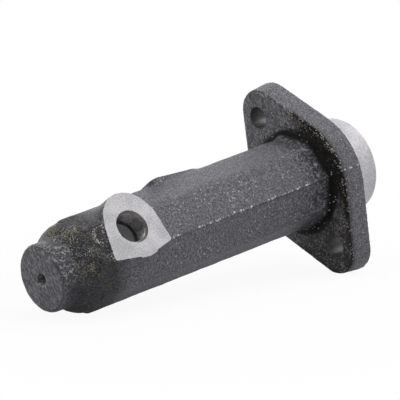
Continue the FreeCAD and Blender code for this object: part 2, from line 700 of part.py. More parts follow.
def make_return_spring():
    body = new_body("return_spring")
    wire = sketch_on(body, "XZ_Plane", "wire")
    disc(wire, "spring_wire", "-1 * spring_start", "(spring_outside - spring_wire) / 2")
    coil = body.newObject("PartDesign::AdditiveHelix", "coil")
    coil.Profile = wire
    coil.ReferenceAxis = (origin_feature(body, "X_Axis"), [""])
    coil.Mode = "height-turns-angle"
    coil.setExpression("Height", bound("spring_start - spring_finish"))
    coil.setExpression("Turns", bound("spring_turns"))
    doc.recompute()
    return body


def make_stop_washer():
    return turned_piece("stop_washer", [
        ("mouth_seat", "washer_hole / 2"),
        ("washer_rear", "washer_hole / 2"),
        ("washer_rear", "mouth_radius - washer_slack"),
        ("mouth_seat", "mouth_radius - washer_slack"),
    ])


def make_circlip():
    """An internal circlip: a band that thins towards its gap, and an eye for the pliers at each end."""
    body = new_body("circlip")
    half_gap = math.radians(size("clip_gap") / 2)
    band = sketch_on(body, "YZ_Plane", "band", "clip_front")
    start = half_gap - math.pi / 2
    end = 1.5 * math.pi - half_gap
    outer = add_arc(band, V(0, 0, 0), size("clip_outside"), start, end)
    inner = add_arc(band, V(0, -size("clip_shift"), 0), size("clip_inside"), start, end)
    geometry = band.Geometry
    left = add_line(band, geometry[outer].EndPoint, geometry[inner].EndPoint)
    right = add_line(band, geometry[inner].StartPoint, geometry[outer].StartPoint)
    relate(band, "Coincident", outer, 3, -1, 1)
    relate(band, "Coincident", outer, 2, left, 1)
    relate(band, "Coincident", left, 2, inner, 2)
    relate(band, "Coincident", inner, 1, right, 1)
    relate(band, "Coincident", right, 2, outer, 1)
    relate(band, "Symmetric", outer, 1, outer, 2, -2)
    relate(band, "Symmetric", inner, 1, inner, 2, -2)
    bind(band, "Radius", (outer,), "outside", "clip_outside")
    bind(band, "Radius", (inner,), "inside", "clip_inside")
    place_point(band, inner, 3, "inner_centre", "0", "-1 * clip_shift")
    bind(band, "DistanceX", (-1, 1, outer, 1), "outer_end", "clip_outside * sin(clip_gap / 2)")
    bind(band, "DistanceX", (-1, 1, inner, 1), "inner_end", "clip_inside * sin(clip_gap / 2)")
    pad(body, band, "clip_thickness")
    across = "eye_ring * sin(clip_gap / 2)"
    up = "-1 * eye_ring * cos(clip_gap / 2)"
    lugs = sketch_on(body, "YZ_Plane", "lugs", "clip_front")
    disc(lugs, "2 * clip_lug", across, up, "right_lug")
    disc(lugs, "2 * clip_lug", "-1 * " + across, up, "left_lug")
    pad(body, lugs, "clip_thickness")
    eyes = sketch_on(body, "YZ_Plane", "eyes", "clip_rear")
    disc(eyes, "clip_eye", across, up, "right_eye")
    disc(eyes, "clip_eye", "-1 * " + across, up, "left_eye")
    pocket(body, eyes, "clip_thickness")
    return body


pieces = [make_cylinder_body(), make_piston()]
pieces += make_cups_and_retainer()
pieces += [make_return_spring(), make_stop_washer(), make_circlip()]
doc.recompute()

for item in doc.Objects:
    if "Invalid" in item.State or "Error" in item.State:
        raise RuntimeError(f"{item.Name} failed: {item.State}")

os.makedirs("parts", exist_ok=True)
for piece in pieces:
    shape = piece.Shape
    if shape.isNull() or not shape.isValid() or len(shape.Solids) != 1:
        raise RuntimeError(f"{piece.Label} is not one valid solid")
    shape.exportStep(f"parts/{piece.Label}.step")
    box = shape.BoundBox
    spans = f"{box.XLength:.2f} x {box.YLength:.2f} x {box.ZLength:.2f}"
    print(f"{piece.Label}: {spans} mm, {shape.Volume / 1000:.2f} cm3")
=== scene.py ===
# %% [markdown]
# # A cast iron clutch master cylinder
#
# The real part starts as a rough sand casting. A lathe, a mill and a few drills then cut its
# spigot, its flat faces, its bore and its ports. This lesson works in the same order: a rough
# skin is grown over the plain model, and tools made as meshes cut the machined surfaces into it.
# Where the rough skin meets a machined face, the edge comes out as uneven as the real one.
#
# Every length is in metres, and MM turns millimetres into metres.

# %% Load the frame
import math

import bmesh
import bpy
import numpy as np
from mathutils import Matrix, Vector
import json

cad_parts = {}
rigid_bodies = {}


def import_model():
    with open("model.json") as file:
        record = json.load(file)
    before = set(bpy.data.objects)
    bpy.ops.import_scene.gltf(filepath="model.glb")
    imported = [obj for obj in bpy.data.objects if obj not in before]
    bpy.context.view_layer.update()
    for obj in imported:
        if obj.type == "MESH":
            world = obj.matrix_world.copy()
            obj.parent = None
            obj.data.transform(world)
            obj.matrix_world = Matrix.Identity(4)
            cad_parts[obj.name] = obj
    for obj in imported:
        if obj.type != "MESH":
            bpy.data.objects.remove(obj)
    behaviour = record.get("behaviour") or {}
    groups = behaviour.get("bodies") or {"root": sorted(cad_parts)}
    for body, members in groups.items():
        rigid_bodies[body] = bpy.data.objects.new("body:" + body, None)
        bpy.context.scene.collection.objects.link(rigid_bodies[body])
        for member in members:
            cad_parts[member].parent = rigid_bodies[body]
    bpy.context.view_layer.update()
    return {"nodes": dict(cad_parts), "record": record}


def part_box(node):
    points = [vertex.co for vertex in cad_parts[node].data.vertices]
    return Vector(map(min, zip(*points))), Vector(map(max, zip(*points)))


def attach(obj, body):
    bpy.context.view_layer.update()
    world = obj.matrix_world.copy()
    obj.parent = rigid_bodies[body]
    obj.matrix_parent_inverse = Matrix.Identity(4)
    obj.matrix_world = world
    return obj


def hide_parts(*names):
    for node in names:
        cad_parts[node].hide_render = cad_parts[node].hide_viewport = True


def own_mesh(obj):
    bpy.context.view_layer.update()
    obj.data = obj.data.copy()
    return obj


for leftover in list(bpy.data.objects):
    bpy.data.objects.remove(leftover, do_unlink=True)

MM = 0.001
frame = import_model()
nodes = frame["nodes"]
mounts = {mount["name"]: mount for mount in frame["record"]["mounts"]}

# %% [markdown]
# ## Places on the casting
#
# The interfaces are in the model's record, so the tools take their places from there and not
# from typed numbers. The few sizes that no interface states are named here once.

# %% Read the places
outlet_place = Vector(mounts["outlet_port"]["pos_m"])
inlet_place = Vector(mounts["inlet_port"]["pos_m"])
spigot_radius = mounts["spigot"]["dims"]["r_mm"] * MM
thread_minor = mounts["outlet_port"]["dims"]["r_mm"] * MM
bolt_radius = mounts["flange_bolts"]["dims"]["hole_r_mm"] * MM
bolt_offset = mounts["flange_bolts"]["dims"]["spacing_y_mm"] * MM / 2

body_low, body_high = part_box("cylinder_body")
washer_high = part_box("stop_washer")[1]
clip_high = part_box("circlip")[1]
spigot_end = body_high.x
closed_end = body_low.x

OUTLET_FACE = -17.2 * MM
INLET_FACE = 18.0 * MM
INLET_PAD_REACH = 17.0 * MM
FLANGE_FRONT = -9.5 * MM
PARTING_LEVEL = -7.1 * MM
PARTING_DROP = 0.307
SHOULDER = -128.0 * MM
BORE_RADIUS = 9.525 * MM
BORE_END = -97.0 * MM
POCKET_RADIUS = 5.5 * MM
POCKET_END = -114.0 * MM
MOUTH_RADIUS = 13.0 * MM
MOUTH_SEAT = 8.0 * MM
MOUTH_CHAMFER = 1.2 * MM
EDGE_BREAK = 0.5 * MM
SPIGOT_CHAMFER = 1.0 * MM
OUTLET_SEAT = -8.3 * MM
INLET_BOTTOM = 11.525 * MM
THREAD_PITCH = 1.0 * MM
THREAD_RADIUS = 6.0 * MM
PORT_MOUTH_RADIUS = 6.4 * MM
PORT_MOUTH_DEPTH = 1.25 * MM
PORT_MOUTH_INNER = 5.75 * MM
print("spigot radius", round(spigot_radius / MM, 2), "mm")
print("bolts", round(2 * bolt_offset / MM, 1), "mm apart")

# %% [markdown]
# ## Camera, floor and light
#
# The photograph was taken with a long lens from the closed end, a little above the table. The
# part lies on its flange's lower tip and the rounding of its closed end, so the table is a
# tilted plane in this frame. Most light comes from the white room, which the iron mirrors where
# it is seen at a shallow angle. Two soft lamps add a little from above and from the flange's
# side, and the floor keeps a faint shadow.

# %% Set the camera
AIM = Vector((-63.190, -6.803, 4.971)) * MM
VIEW_TURN = math.radians(-40.585)
VIEW_RISE = math.radians(-11.580)
VIEW_ROLL = math.radians(30.295)
VIEW_DISTANCE = 0.7
FOCAL_LENGTH = 168.82
SENSOR = 36.0
FLOOR_NORMAL = Vector((0.162, -0.565, 0.810)).normalized()

towards_camera = Vector((
    math.sin(VIEW_TURN) * math.cos(VIEW_RISE),
    -math.cos(VIEW_TURN) * math.cos(VIEW_RISE),
    math.sin(VIEW_RISE),
))
camera_data = bpy.data.cameras.new("photo_camera")
camera_data.lens = FOCAL_LENGTH
camera_data.sensor_width = SENSOR
camera_data.clip_start = 0.05
camera_data.clip_end = 20.0
camera = bpy.data.objects.new("photo_camera", camera_data)
bpy.context.scene.collection.objects.link(camera)
level_turn = towards_camera.to_track_quat("Z", "Y").to_matrix()
camera_turn = level_turn @ Matrix.Rotation(-VIEW_ROLL, 3, "Z")
camera.matrix_world = Matrix.Translation(AIM + towards_camera * VIEW_DISTANCE) @ camera_turn.to_4x4()
bpy.context.scene.camera = camera
bpy.context.scene.view_settings.view_transform = "Standard"
rise = math.degrees(math.asin(towards_camera.dot(FLOOR_NORMAL)))
print("camera stands", round(rise, 1), "degrees above the table")


# %% Helpers for node trees
def link_chain(tree, *sockets):
    """Links sockets in pairs: from, to, from, to."""
    for start, end in zip(sockets[::2], sockets[1::2]):
        tree.links.new(start, end)


def add_node(tree, kind, **settings):
    """Adds a node and sets its properties, or the default of an input that has that name."""
    node = tree.nodes.new(kind)
    for name, value in settings.items():
        if hasattr(node, name):
            setattr(node, name, value)
        else:
            node.inputs[name.replace("_", " ")].default_value = value
    return node


def new_group(name, kind, inputs, outputs):
    """A node group, the sockets that bring its inputs in and those that take its outputs."""
    tree = bpy.data.node_groups.new(name, kind)
    for label, socket_type, default in inputs:
        socket = tree.interface.new_socket(label, in_out="INPUT", socket_type=socket_type)
        if default is not None:
            socket.default_value = default
    for label, socket_type in outputs:
        tree.interface.new_socket(label, in_out="OUTPUT", socket_type=socket_type)
    given = tree.nodes.new("NodeGroupInput").outputs
    return tree, given, tree.nodes.new("NodeGroupOutput").inputs


def calculate(tree, operation, *operands, clamp=False):
    """A math node whose operands are sockets or numbers; returns its result."""
    node = tree.nodes.new("ShaderNodeMath")
    node.operation = operation
    node.use_clamp = clamp
    for socket, operand in zip(node.inputs, operands):
        if isinstance(operand, bpy.types.NodeSocket):
            tree.links.new(operand, socket)
        else:
            socket.default_value = operand
    return node.outputs[0]


def times(tree, first, second):
    return calculate(tree, "MULTIPLY", first, second)


def plus(tree, first, second):
    return calculate(tree, "ADD", first, second)


def minus(tree, first, second):
    return calculate(tree, "SUBTRACT", first, second)


def stepped(tree, value, low, high, start=0.0, end=1.0):
    """start below low, end above high and smooth between them."""
    node = tree.nodes.new("ShaderNodeMapRange")
    node.interpolation_type = "SMOOTHSTEP"
    for name, number in (("From Min", low), ("From Max", high), ("To Min", start), ("To Max", end)):
        node.inputs[name].default_value = number
    tree.links.new(value, node.inputs["Value"])
    return node.outputs["Result"]


def object_place(tree):
    """The point of the object that is being shaded, in metres."""
    return tree.nodes.new("ShaderNodeTexCoord").outputs["Object"]


def parts_of(tree, vector):
    """The X, Y and Z of a vector."""
    node = tree.nodes.new("ShaderNodeSeparateXYZ")
    tree.links.new(vector, node.inputs[0])
    return node.outputs


def noise(tree, place, scale, one_way=False, output="Fac", **settings):
    """A noise texture at a place; one_way reads the place as one number, and scale may be a socket."""
    dimensions = "1D" if one_way else "3D"
    node = add_node(tree, "ShaderNodeTexNoise", noise_dimensions=dimensions, **settings)
    tree.links.new(place, node.inputs["W" if one_way else "Vector"])
    if isinstance(scale, bpy.types.NodeSocket):
        tree.links.new(scale, node.inputs["Scale"])
    else:
        node.inputs["Scale"].default_value = scale
    return node.outputs[output]


# %% Lay the floor
FLOOR_SIZE = 6.0
SEEN_GLOW = 0.93
SHADOW_NEAR, SHADOW_FAR = 0.07, 0.20
MIRRORED_GLOW = 0.25
MIRRORED_GLOW_FAR = 0.95
MIRROR_NEAR, MIRROR_FAR = 0.05, 0.45
floor_material = bpy.data.materials.new("studio_floor")
floor_material.use_nodes = True
tree = floor_material.node_tree
tree.nodes.clear()
output = add_node(tree, "ShaderNodeOutputMaterial")
paper = add_node(tree, "ShaderNodeBsdfDiffuse", Color=(0.78, 0.78, 0.80, 1))
glow = add_node(tree, "ShaderNodeEmission", Color=(1, 1, 1, 1))
lit = add_node(tree, "ShaderNodeMixShader")
seen = add_node(tree, "ShaderNodeMixShader")
clear = add_node(tree, "ShaderNodeBsdfTransparent")
side = add_node(tree, "ShaderNodeNewGeometry")
path = add_node(tree, "ShaderNodeLightPath")
spread = add_node(tree, "ShaderNodeVectorMath", operation="LENGTH")
link_chain(tree, object_place(tree), spread.inputs[0])
# Past the part's shadow the paper is pure white; nearer, a little less glow shows over the lit paper.
seen_share = stepped(tree, spread.outputs["Value"], SHADOW_NEAR, SHADOW_FAR, SEEN_GLOW, 1.0)
seen_share = times(tree, seen_share, path.outputs["Is Camera Ray"])
# Near the part the iron mirrors the floor dimmer: painted shade by distance, standing in for the floor's
# shadow in that reflection.
mirrored_share = stepped(
    tree, spread.outputs["Value"], MIRROR_NEAR, MIRROR_FAR, MIRRORED_GLOW, MIRRORED_GLOW_FAR)
through = calculate(tree, "MAXIMUM", path.outputs["Is Glossy Ray"], path.outputs["Is Transmission Ray"])
mirrored_share = times(tree, mirrored_share, through)
share = calculate(tree, "MAXIMUM", seen_share, mirrored_share)
link_chain(
    tree, share, lit.inputs["Fac"], paper.outputs[0], lit.inputs[1], glow.outputs[0], lit.inputs[2],
    side.outputs["Backfacing"], seen.inputs["Fac"], lit.outputs[0], seen.inputs[1],
    clear.outputs[0], seen.inputs[2], seen.outputs[0], output.inputs["Surface"],
)
corners = np.array([vertex.co for vertex in nodes["cylinder_body"].data.vertices])
floor_level = float((corners @ np.array(FLOOR_NORMAL)).min())
floor_mesh = bpy.data.meshes.new("floor")
half = FLOOR_SIZE / 2
sheet = [(-half, -half, 0), (half, -half, 0), (half, half, 0), (-half, half, 0)]
floor_mesh.from_pydata(sheet, [], [(0, 1, 2, 3)])
floor_mesh.materials.append(floor_material)
floor = bpy.data.objects.new("floor", floor_mesh)
foot = AIM - FLOOR_NORMAL * (AIM.dot(FLOOR_NORMAL) - floor_level)
floor.matrix_world = Matrix.Translation(foot) @ FLOOR_NORMAL.to_track_quat("Z", "Y").to_matrix().to_4x4()
bpy.context.scene.collection.objects.link(floor)
print("floor lies", round((AIM.dot(FLOOR_NORMAL) - floor_level) / MM, 1), "mm under the aim")

# %% Light the studio
FILL = 0.62
FILL_LOW = 0.92 * FILL
MIRRORED_LOW = 0.55
MIRRORED_HIGH = 1.2
world = bpy.data.worlds.new("studio")
bpy.context.scene.world = world
world.use_nodes = True
tree = world.node_tree
tree.nodes.clear()
output = add_node(tree, "ShaderNodeOutputWorld")
place = add_node(tree, "ShaderNodeTexCoord")
backwards = add_node(tree, "ShaderNodeVectorMath", operation="DOT_PRODUCT")
backwards.inputs[1].default_value = (FLOOR_NORMAL * 0.6 - towards_camera * 0.8).normalized()
link_chain(tree, place.outputs["Generated"], backwards.inputs[0])
mirrored = stepped(tree, backwards.outputs["Value"], -0.3, 0.8, MIRRORED_LOW, MIRRORED_HIGH)
fill = stepped(tree, backwards.outputs["Value"], -0.6, 0.9, FILL_LOW, FILL)
path = add_node(tree, "ShaderNodeLightPath")
dim = add_node(tree, "ShaderNodeBackground", Color=(0.96, 0.97, 1.0, 1))
room = add_node(tree, "ShaderNodeBackground", Color=(0.97, 0.97, 1.0, 1))
white = add_node(tree, "ShaderNodeBackground", Color=(1, 1, 1, 1), Strength=1.0)
reflected = add_node(tree, "ShaderNodeMixShader")
shown = add_node(tree, "ShaderNodeMixShader")
through = calculate(tree, "MAXIMUM", path.outputs["Is Glossy Ray"], path.outputs["Is Transmission Ray"])
link_chain(
    tree, fill, dim.inputs["Strength"], mirrored, room.inputs["Strength"],
    through, reflected.inputs["Fac"], dim.outputs[0], reflected.inputs[1],
    room.outputs[0], reflected.inputs[2], path.outputs["Is Camera Ray"], shown.inputs["Fac"],
    reflected.outputs[0], shown.inputs[1], white.outputs[0], shown.inputs[2],
    shown.outputs[0], output.inputs["Surface"],
)


def softbox(name, direction, distance, width, power):
    """A square soft lamp that hangs in a direction from the part and faces it."""
    data = bpy.data.lights.new(name, "AREA")
    data.shape = "SQUARE"
    data.size = width
    data.energy = power
    lamp = bpy.data.objects.new(name, data)
    direction = Vector(direction).normalized()
    turn = direction.to_track_quat("Z", "Y").to_matrix().to_4x4()
    lamp.matrix_world = Matrix.Translation(AIM + direction * distance) @ turn
    bpy.context.scene.collection.objects.link(lamp)


softbox("top_light", (-0.05, -0.55, 0.83), 0.32, 0.18, 0.36)
softbox("side_light", (0.66, -0.66, 0.36), 0.50, 0.24, 1.05)
print("lamps set")

# %% [markdown]
# ## Finishes
#
# Sand-cast iron is dark, wormy and a little shiny on the crests of its grain, with pale dust and
# traces of rust here and there. A painted highlight lightens the grain's crests and painted shade
# blackens its pits. A machined face is bare, warm and fine-grained.
# The grain, the specks and the tool marks are node groups, so each finish sets its own sizes. The
# specks' colours are the ones that such iron collects: pale dust, beige deposit, rust and wear.


# %% Shared shader groups
def sand_grain_group():
    """The grain of sand-cast skin: fine pebbles, and wormy ridges where the skin is coarse."""
    tree, given, result = new_group("sand_grain", "ShaderNodeTree", [
        ("Grain Scale", "NodeSocketFloat", 1500.0),
        ("Worm Scale", "NodeSocketFloat", 560.0),
        ("Coarse", "NodeSocketFloat", 0.0),
        ("Streak", "NodeSocketFloat", 0.0),
    ], [("Height", "NodeSocketFloat"), ("Crest", "NodeSocketFloat"), ("Pit", "NodeSocketFloat"),
        ("Grit", "NodeSocketFloat")])
    x, y, z = parts_of(tree, object_place(tree))
    together = add_node(tree, "ShaderNodeCombineXYZ")
    squeeze = stepped(tree, given["Streak"], 0.0, 1.0, 1.0, 0.42)
    squeezed = times(tree, z, squeeze)
    link_chain(
        tree, x, together.inputs["X"], y, together.inputs["Y"], squeezed, together.inputs["Z"],
    )
    sand = together.outputs[0]
    grain = noise(tree, sand, given["Grain Scale"], Detail=2.0, Roughness=0.6, Distortion=0.4)
    worm = noise(tree, sand, given["Worm Scale"], Detail=1.0, Roughness=0.5, Distortion=0.7)
    level = calculate(tree, "ABSOLUTE", minus(tree, worm, 0.5))
    ridge = times(tree, stepped(tree, level, 0.0, 0.09, 1.0, 0.0), given["Coarse"])
    ridge = calculate(tree, "MULTIPLY_ADD", given["Coarse"], -0.4, ridge)
    height = calculate(tree, "MULTIPLY_ADD", ridge, 0.40, times(tree, grain, 0.8))
    crest = stepped(tree, height, 0.39, 0.56)
    pit = stepped(tree, height, 0.29, 0.40, 1.0, 0.0)
    grit = stepped(tree, height, 0.36, 0.47)
    link_chain(
        tree, height, result["Height"], crest, result["Crest"],
        pit, result["Pit"], grit, result["Grit"],
    )
    return tree


def speck_group():
    """Scattered specks of uneven shape: each cell of a pattern holds one speck or none."""
    tree, given, result = new_group("specks", "ShaderNodeTree", [
        ("Scale", "NodeSocketFloat", 800.0),
        ("Share", "NodeSocketFloat", 0.1),
        ("Patch Scale", "NodeSocketFloat", 60.0),
        ("Size", "NodeSocketFloat", 0.33),
    ], [("Mask", "NodeSocketFloat")])
    place = object_place(tree)
    bend = noise(tree, place, 1500.0, output="Color", Detail=1.0)
    bent = add_node(tree, "ShaderNodeVectorMath", operation="MULTIPLY_ADD")
    bent.inputs[1].default_value = (0.0006, 0.0006, 0.0006)
    cell = add_node(tree, "ShaderNodeTexVoronoi", feature="F1", Randomness=1.0)
    patch = noise(tree, place, given["Patch Scale"], Detail=2.0)
    apart = add_node(tree, "ShaderNodeSeparateColor")
    link_chain(
        tree, bend, bent.inputs[0], place, bent.inputs[2],
        bent.outputs[0], cell.inputs["Vector"], given["Scale"], cell.inputs["Scale"],
        cell.outputs["Color"], apart.inputs[0],
    )
    chance = times(tree, given["Share"], stepped(tree, patch, 0.38, 0.66))
    chosen = calculate(tree, "LESS_THAN", apart.outputs[0], chance)
    dot = calculate(tree, "LESS_THAN", cell.outputs["Distance"], given["Size"])
    link_chain(tree, times(tree, chosen, dot), result["Mask"])
    return tree


def parting_line_group():
    """Where the mould's halves met: broken pale flash over a dark line, lower at the flange's sides."""
    tree, given, result = new_group("parting_line", "ShaderNodeTree", [
        ("Level", "NodeSocketFloat", 0.0),
        ("Reach", "NodeSocketFloat", 19 * MM),
        ("Drop", "NodeSocketFloat", 0.3),
        ("Facing", "NodeSocketFloat", 0.0),
    ], [("Flash", "NodeSocketFloat"), ("Dark Line", "NodeSocketFloat")])
    x, y, z = parts_of(tree, object_place(tree))
    sideways = calculate(tree, "ABSOLUTE", y)
    along = plus(tree, x, sideways)
    # Each noise reads the line at its own offset, so that none repeats another.
    wander = noise(tree, along, 430.0, one_way=True, Detail=3.0)
    offset = plus(tree, along, 0.5)
    broken = noise(tree, offset, 560.0, one_way=True, Detail=4.0, Roughness=0.7)
    patch = noise(tree, plus(tree, along, 1.5), 75.0, one_way=True, Detail=1.0)
    beyond = calculate(tree, "MAXIMUM", minus(tree, sideways, given["Reach"]), 0.0)
    above = minus(tree, z, given["Level"])
    above = plus(tree, above, times(tree, beyond, given["Drop"]))
    above = calculate(tree, "MULTIPLY_ADD", wander, -1.5 * MM, above)
    above = plus(tree, above, 0.75 * MM)
    near = stepped(tree, calculate(tree, "ABSOLUTE", above), 0.20 * MM, 0.46 * MM, 1.0, 0.0)
    under = calculate(tree, "ABSOLUTE", plus(tree, above, 0.5 * MM))
    under = stepped(tree, under, 0.06 * MM, 0.34 * MM, 1.0, 0.0)
    flash = times(tree, near, stepped(tree, broken, 0.51, 0.57))
    flash = times(tree, flash, stepped(tree, patch, 0.38, 0.55, 0.15, 1.0))
    dark_line = times(tree, under, stepped(tree, wander, 0.36, 0.46))
    shown = stepped(tree, x, -120 * MM, -114 * MM)
    shown = times(tree, shown, stepped(tree, given["Facing"], 0.0, 1.0, 1.0, 0.25))
    flash = times(tree, flash, shown)
    dark_line = times(tree, dark_line, shown)
    link_chain(tree, flash, result["Flash"], dark_line, result["Dark Line"])
    return tree


def tool_mark_group():
    """Marks of a cutting tool: rings round the bore axis on any turned surface, over a fine grain."""
    tree, given, result = new_group("tool_marks", "ShaderNodeTree", [
        ("Ring Scale", "NodeSocketFloat", 4000.0),
        ("Ring Share", "NodeSocketFloat", 1.0),
        ("Grain Scale", "NodeSocketFloat", 1800.0),
    ], [("Height", "NodeSocketFloat"), ("Tone", "NodeSocketFloat")])
    place = object_place(tree)
    x, y, z = parts_of(tree, place)
    squares = plus(tree, calculate(tree, "POWER", y, 2.0), calculate(tree, "POWER", z, 2.0))
    along = plus(tree, x, calculate(tree, "SQRT", squares))
    rings = noise(tree, along, given["Ring Scale"], one_way=True, Detail=2.0)
    grain = noise(tree, place, given["Grain Scale"], Detail=3.0, Roughness=0.65)
    cloud = noise(tree, place, 160.0, Detail=3.0)
    ringed = minus(tree, rings, 0.5)
    ringed = times(tree, ringed, given["Ring Share"])
    height = plus(tree, ringed, grain)
    tone = calculate(tree, "MULTIPLY_ADD", ringed, 0.5, grain)
    tone = calculate(tree, "MULTIPLY_ADD", minus(tree, cloud, 0.5), 0.5, tone)
    link_chain(tree, height, result["Height"], tone, result["Tone"])
    return tree


groups = {
    "grain": sand_grain_group(), "specks": speck_group(),
    "parting": parting_line_group(), "marks": tool_mark_group(),
}
print("shader groups:", ", ".join(groups))


# %% Helpers for finishes
def new_finish(name, metallic=0.0, roughness=0.5):
    """A material with a Principled shader, and the two nodes to link to."""
    material = bpy.data.materials.new(name)
    material.use_nodes = True
    tree = material.node_tree
    tree.nodes.clear()
    output = tree.nodes.new("ShaderNodeOutputMaterial")
    shader = tree.nodes.new("ShaderNodeBsdfPrincipled")
    shader.inputs["Metallic"].default_value = metallic
    shader.inputs["Roughness"].default_value = roughness
    tree.links.new(shader.outputs[0], output.inputs["Surface"])
    return material, tree, shader


def use_group(tree, key, **values):
    """Places a shared group in a material and sets its inputs."""
    node = tree.nodes.new("ShaderNodeGroup")
    node.node_tree = groups[key]
    for name, value in values.items():
        node.inputs[name.replace("_", " ")].default_value = value
    return node


def marked(tree, name):
    """The value that a named attribute holds on the surface."""
    return add_node(tree, "ShaderNodeAttribute", attribute_name=name).outputs["Fac"]


def mixed(tree, share, first, second):
    """A colour between two colours or sockets, by a share."""
    node = tree.nodes.new("ShaderNodeMix")
    node.data_type = "RGBA"
    for socket, value in zip((node.inputs[0], node.inputs[6], node.inputs[7]), (share, first, second)):
        if isinstance(value, bpy.types.NodeSocket):
            tree.links.new(value, socket)
        else:
            socket.default_value = value
    return node.outputs[2]


def grey(level, red=1.0, blue=1.0):
    """A grey of a linear level, tinted by its shares of red and blue."""
    return (level * red, level, level * blue, 1)


def add_bump(tree, shader, height, distance, strength=1.0):
    """Feeds a height to the shader's normal."""
    bump = tree.nodes.new("ShaderNodeBump")
    bump.inputs["Distance"].default_value = distance
    bump.inputs["Strength"].default_value = strength
    tree.links.new(height, bump.inputs["Height"])
    tree.links.new(bump.outputs[0], shader.inputs["Normal"])


# %% Cast skin
# The crest colours are painted highlights and the pit colours painted shade; the pit colour also draws the
# parting line's dark line.
IRON = grey(0.068, 1.04, 1.17)
CREST_HIGHLIGHT = grey(0.175, 1.03, 1.12)
PIT_SHADE_AND_SEAM_LINE = grey(0.010, 1.02, 1.1)
GRIT_PIT_SHADE = grey(0.012, 1.03, 1.1)
GRIT_HIGHLIGHT = grey(0.26, 1.03, 1.10)
# The near-black of the painted shade.
PAINTED_SHADE_BLACK = (0.0045, 0.0040, 0.0038, 1)
DUST = (0.36, 0.35, 0.34, 1)
FLASH = (0.62, 0.60, 0.57, 1)
BEIGE = (0.27, 0.245, 0.155, 1)
RUST = (0.075, 0.045, 0.028, 1)
WORN = (0.46, 0.42, 0.37, 1)


def make_cast_finish():
    """Dark pebbled iron, with painted highlights on its crests and painted shade in its pits, the parting
    line, dust, a beige deposit, rust, painted shade and worn rims.
    """
    material, tree, shader = new_finish("sand_cast_iron")
    grain = use_group(tree, "grain")
    tree.links.new(marked(tree, "streak"), grain.inputs["Streak"])
    tree.links.new(marked(tree, "coarse"), grain.inputs["Coarse"])
    # Painted highlight on the grain's crests and painted shade in its pits, stronger where the sand is
    # coarse.
    colour = mixed(tree, grain.outputs["Crest"], IRON, CREST_HIGHLIGHT)
    colour = mixed(tree, grain.outputs["Pit"], colour, PIT_SHADE_AND_SEAM_LINE)
    gritty = times(tree, marked(tree, "coarse"), 0.75)
    colour = mixed(tree, gritty, colour, mixed(tree, grain.outputs["Grit"], GRIT_PIT_SHADE, GRIT_HIGHLIGHT))
    # Painted shade: the shade mask darkens the colour towards near-black.
    shade = marked(tree, "shade")
    colour = mixed(tree, shade, colour, PAINTED_SHADE_BLACK)
    for attribute, tint, settings in (
        ("shade", RUST, {"Scale": 1500.0, "Share": 0.25, "Patch_Scale": 200.0, "Size": 0.40}),
        ("deposit", BEIGE, {"Scale": 1700.0, "Share": 1.1, "Patch_Scale": 180.0, "Size": 0.46}),
        ("rim", WORN, {"Scale": 1500.0, "Share": 1.0, "Patch_Scale": 240.0, "Size": 0.46}),
    ):
        specks = use_group(tree, "specks", **settings)
        covered = times(tree, specks.outputs["Mask"], marked(tree, attribute))
        colour = mixed(tree, covered, colour, tint)
    dust = use_group(tree, "specks", Scale=1150.0, Share=0.20, Patch_Scale=70.0, Size=0.36)
    dusted = times(tree, dust.outputs["Mask"], marked(tree, "dusty"))
    colour = mixed(tree, dusted, colour, DUST)
    line = use_group(tree, "parting", Level=PARTING_LEVEL, Drop=PARTING_DROP)
    tree.links.new(marked(tree, "streak"), line.inputs["Facing"])
    # A dark line runs just under the parting line's pale flash.
    colour = mixed(tree, line.outputs["Dark Line"], colour, PIT_SHADE_AND_SEAM_LINE)
    colour = mixed(tree, line.outputs["Flash"], colour, FLASH)
    tree.links.new(colour, shader.inputs["Base Color"])
    # The painted shade also weakens the reflection and raises the roughness there.
    tree.links.new(calculate(tree, "MULTIPLY_ADD", shade, -0.6, 0.8), shader.inputs["Specular IOR Level"])
    shine = calculate(tree, "MULTIPLY_ADD", grain.outputs["Crest"], -0.12, 0.44)
    shine = calculate(tree, "MULTIPLY_ADD", marked(tree, "coarse"), -0.08, shine)
    shine = calculate(tree, "MULTIPLY_ADD", shade, 0.2, shine)
    tree.links.new(shine, shader.inputs["Roughness"])
    add_bump(tree, shader, grain.outputs["Height"], 1.3 * MM)
    return material


# %% Machined and drilled iron
def make_cut_finish(name, light, dark, metallic, roughness, depth, **marks_settings):
    """Bare metal that a tool has cut: two tones and a height from the tool's marks."""
    material, tree, shader = new_finish(name, metallic=metallic, roughness=roughness)
    shader.inputs["Specular IOR Level"].default_value = 0.15
    marks = use_group(tree, "marks", **marks_settings)
    tone = stepped(tree, marks.outputs["Tone"], 0.34, 0.66)
    tree.links.new(mixed(tree, tone, dark, light), shader.inputs["Base Color"])
    add_bump(tree, shader, marks.outputs["Height"], depth)
    return material


cast_finish = make_cast_finish()
casting_finishes = [
    cast_finish,
    make_cut_finish("turned_iron", grey(0.58, 1.03, 1.03), grey(0.38, 1.02, 1.03), 0.10, 0.52, 0.04 * MM),
    # Drilled and threaded iron are darker copies of the bare cut iron: painted shade for the inside of the
    # bolt holes and the ports.
    make_cut_finish("drilled_iron_painted_shade", grey(0.12), grey(0.06), 0.5, 0.45, 0.03 * MM),
    make_cut_finish("threaded_iron_painted_shade", grey(0.20, 1.03), grey(0.08), 0.8, 0.30, 0.02 * MM, Ring_Share=0.0),
    make_cut_finish(
        "milled_iron", grey(0.54, 1.03, 1.02), grey(0.34, 1.02, 1.02),
        0.10, 0.52, 0.05 * MM, Ring_Share=0.0,
    ),
    make_cut_finish("chamfered_iron", grey(0.26, 1.06, 0.92), grey(0.12, 1.1, 0.88), 0.4, 0.40, 0.03 * MM),
]
print("finishes:", ", ".join(finish.name for finish in casting_finishes))

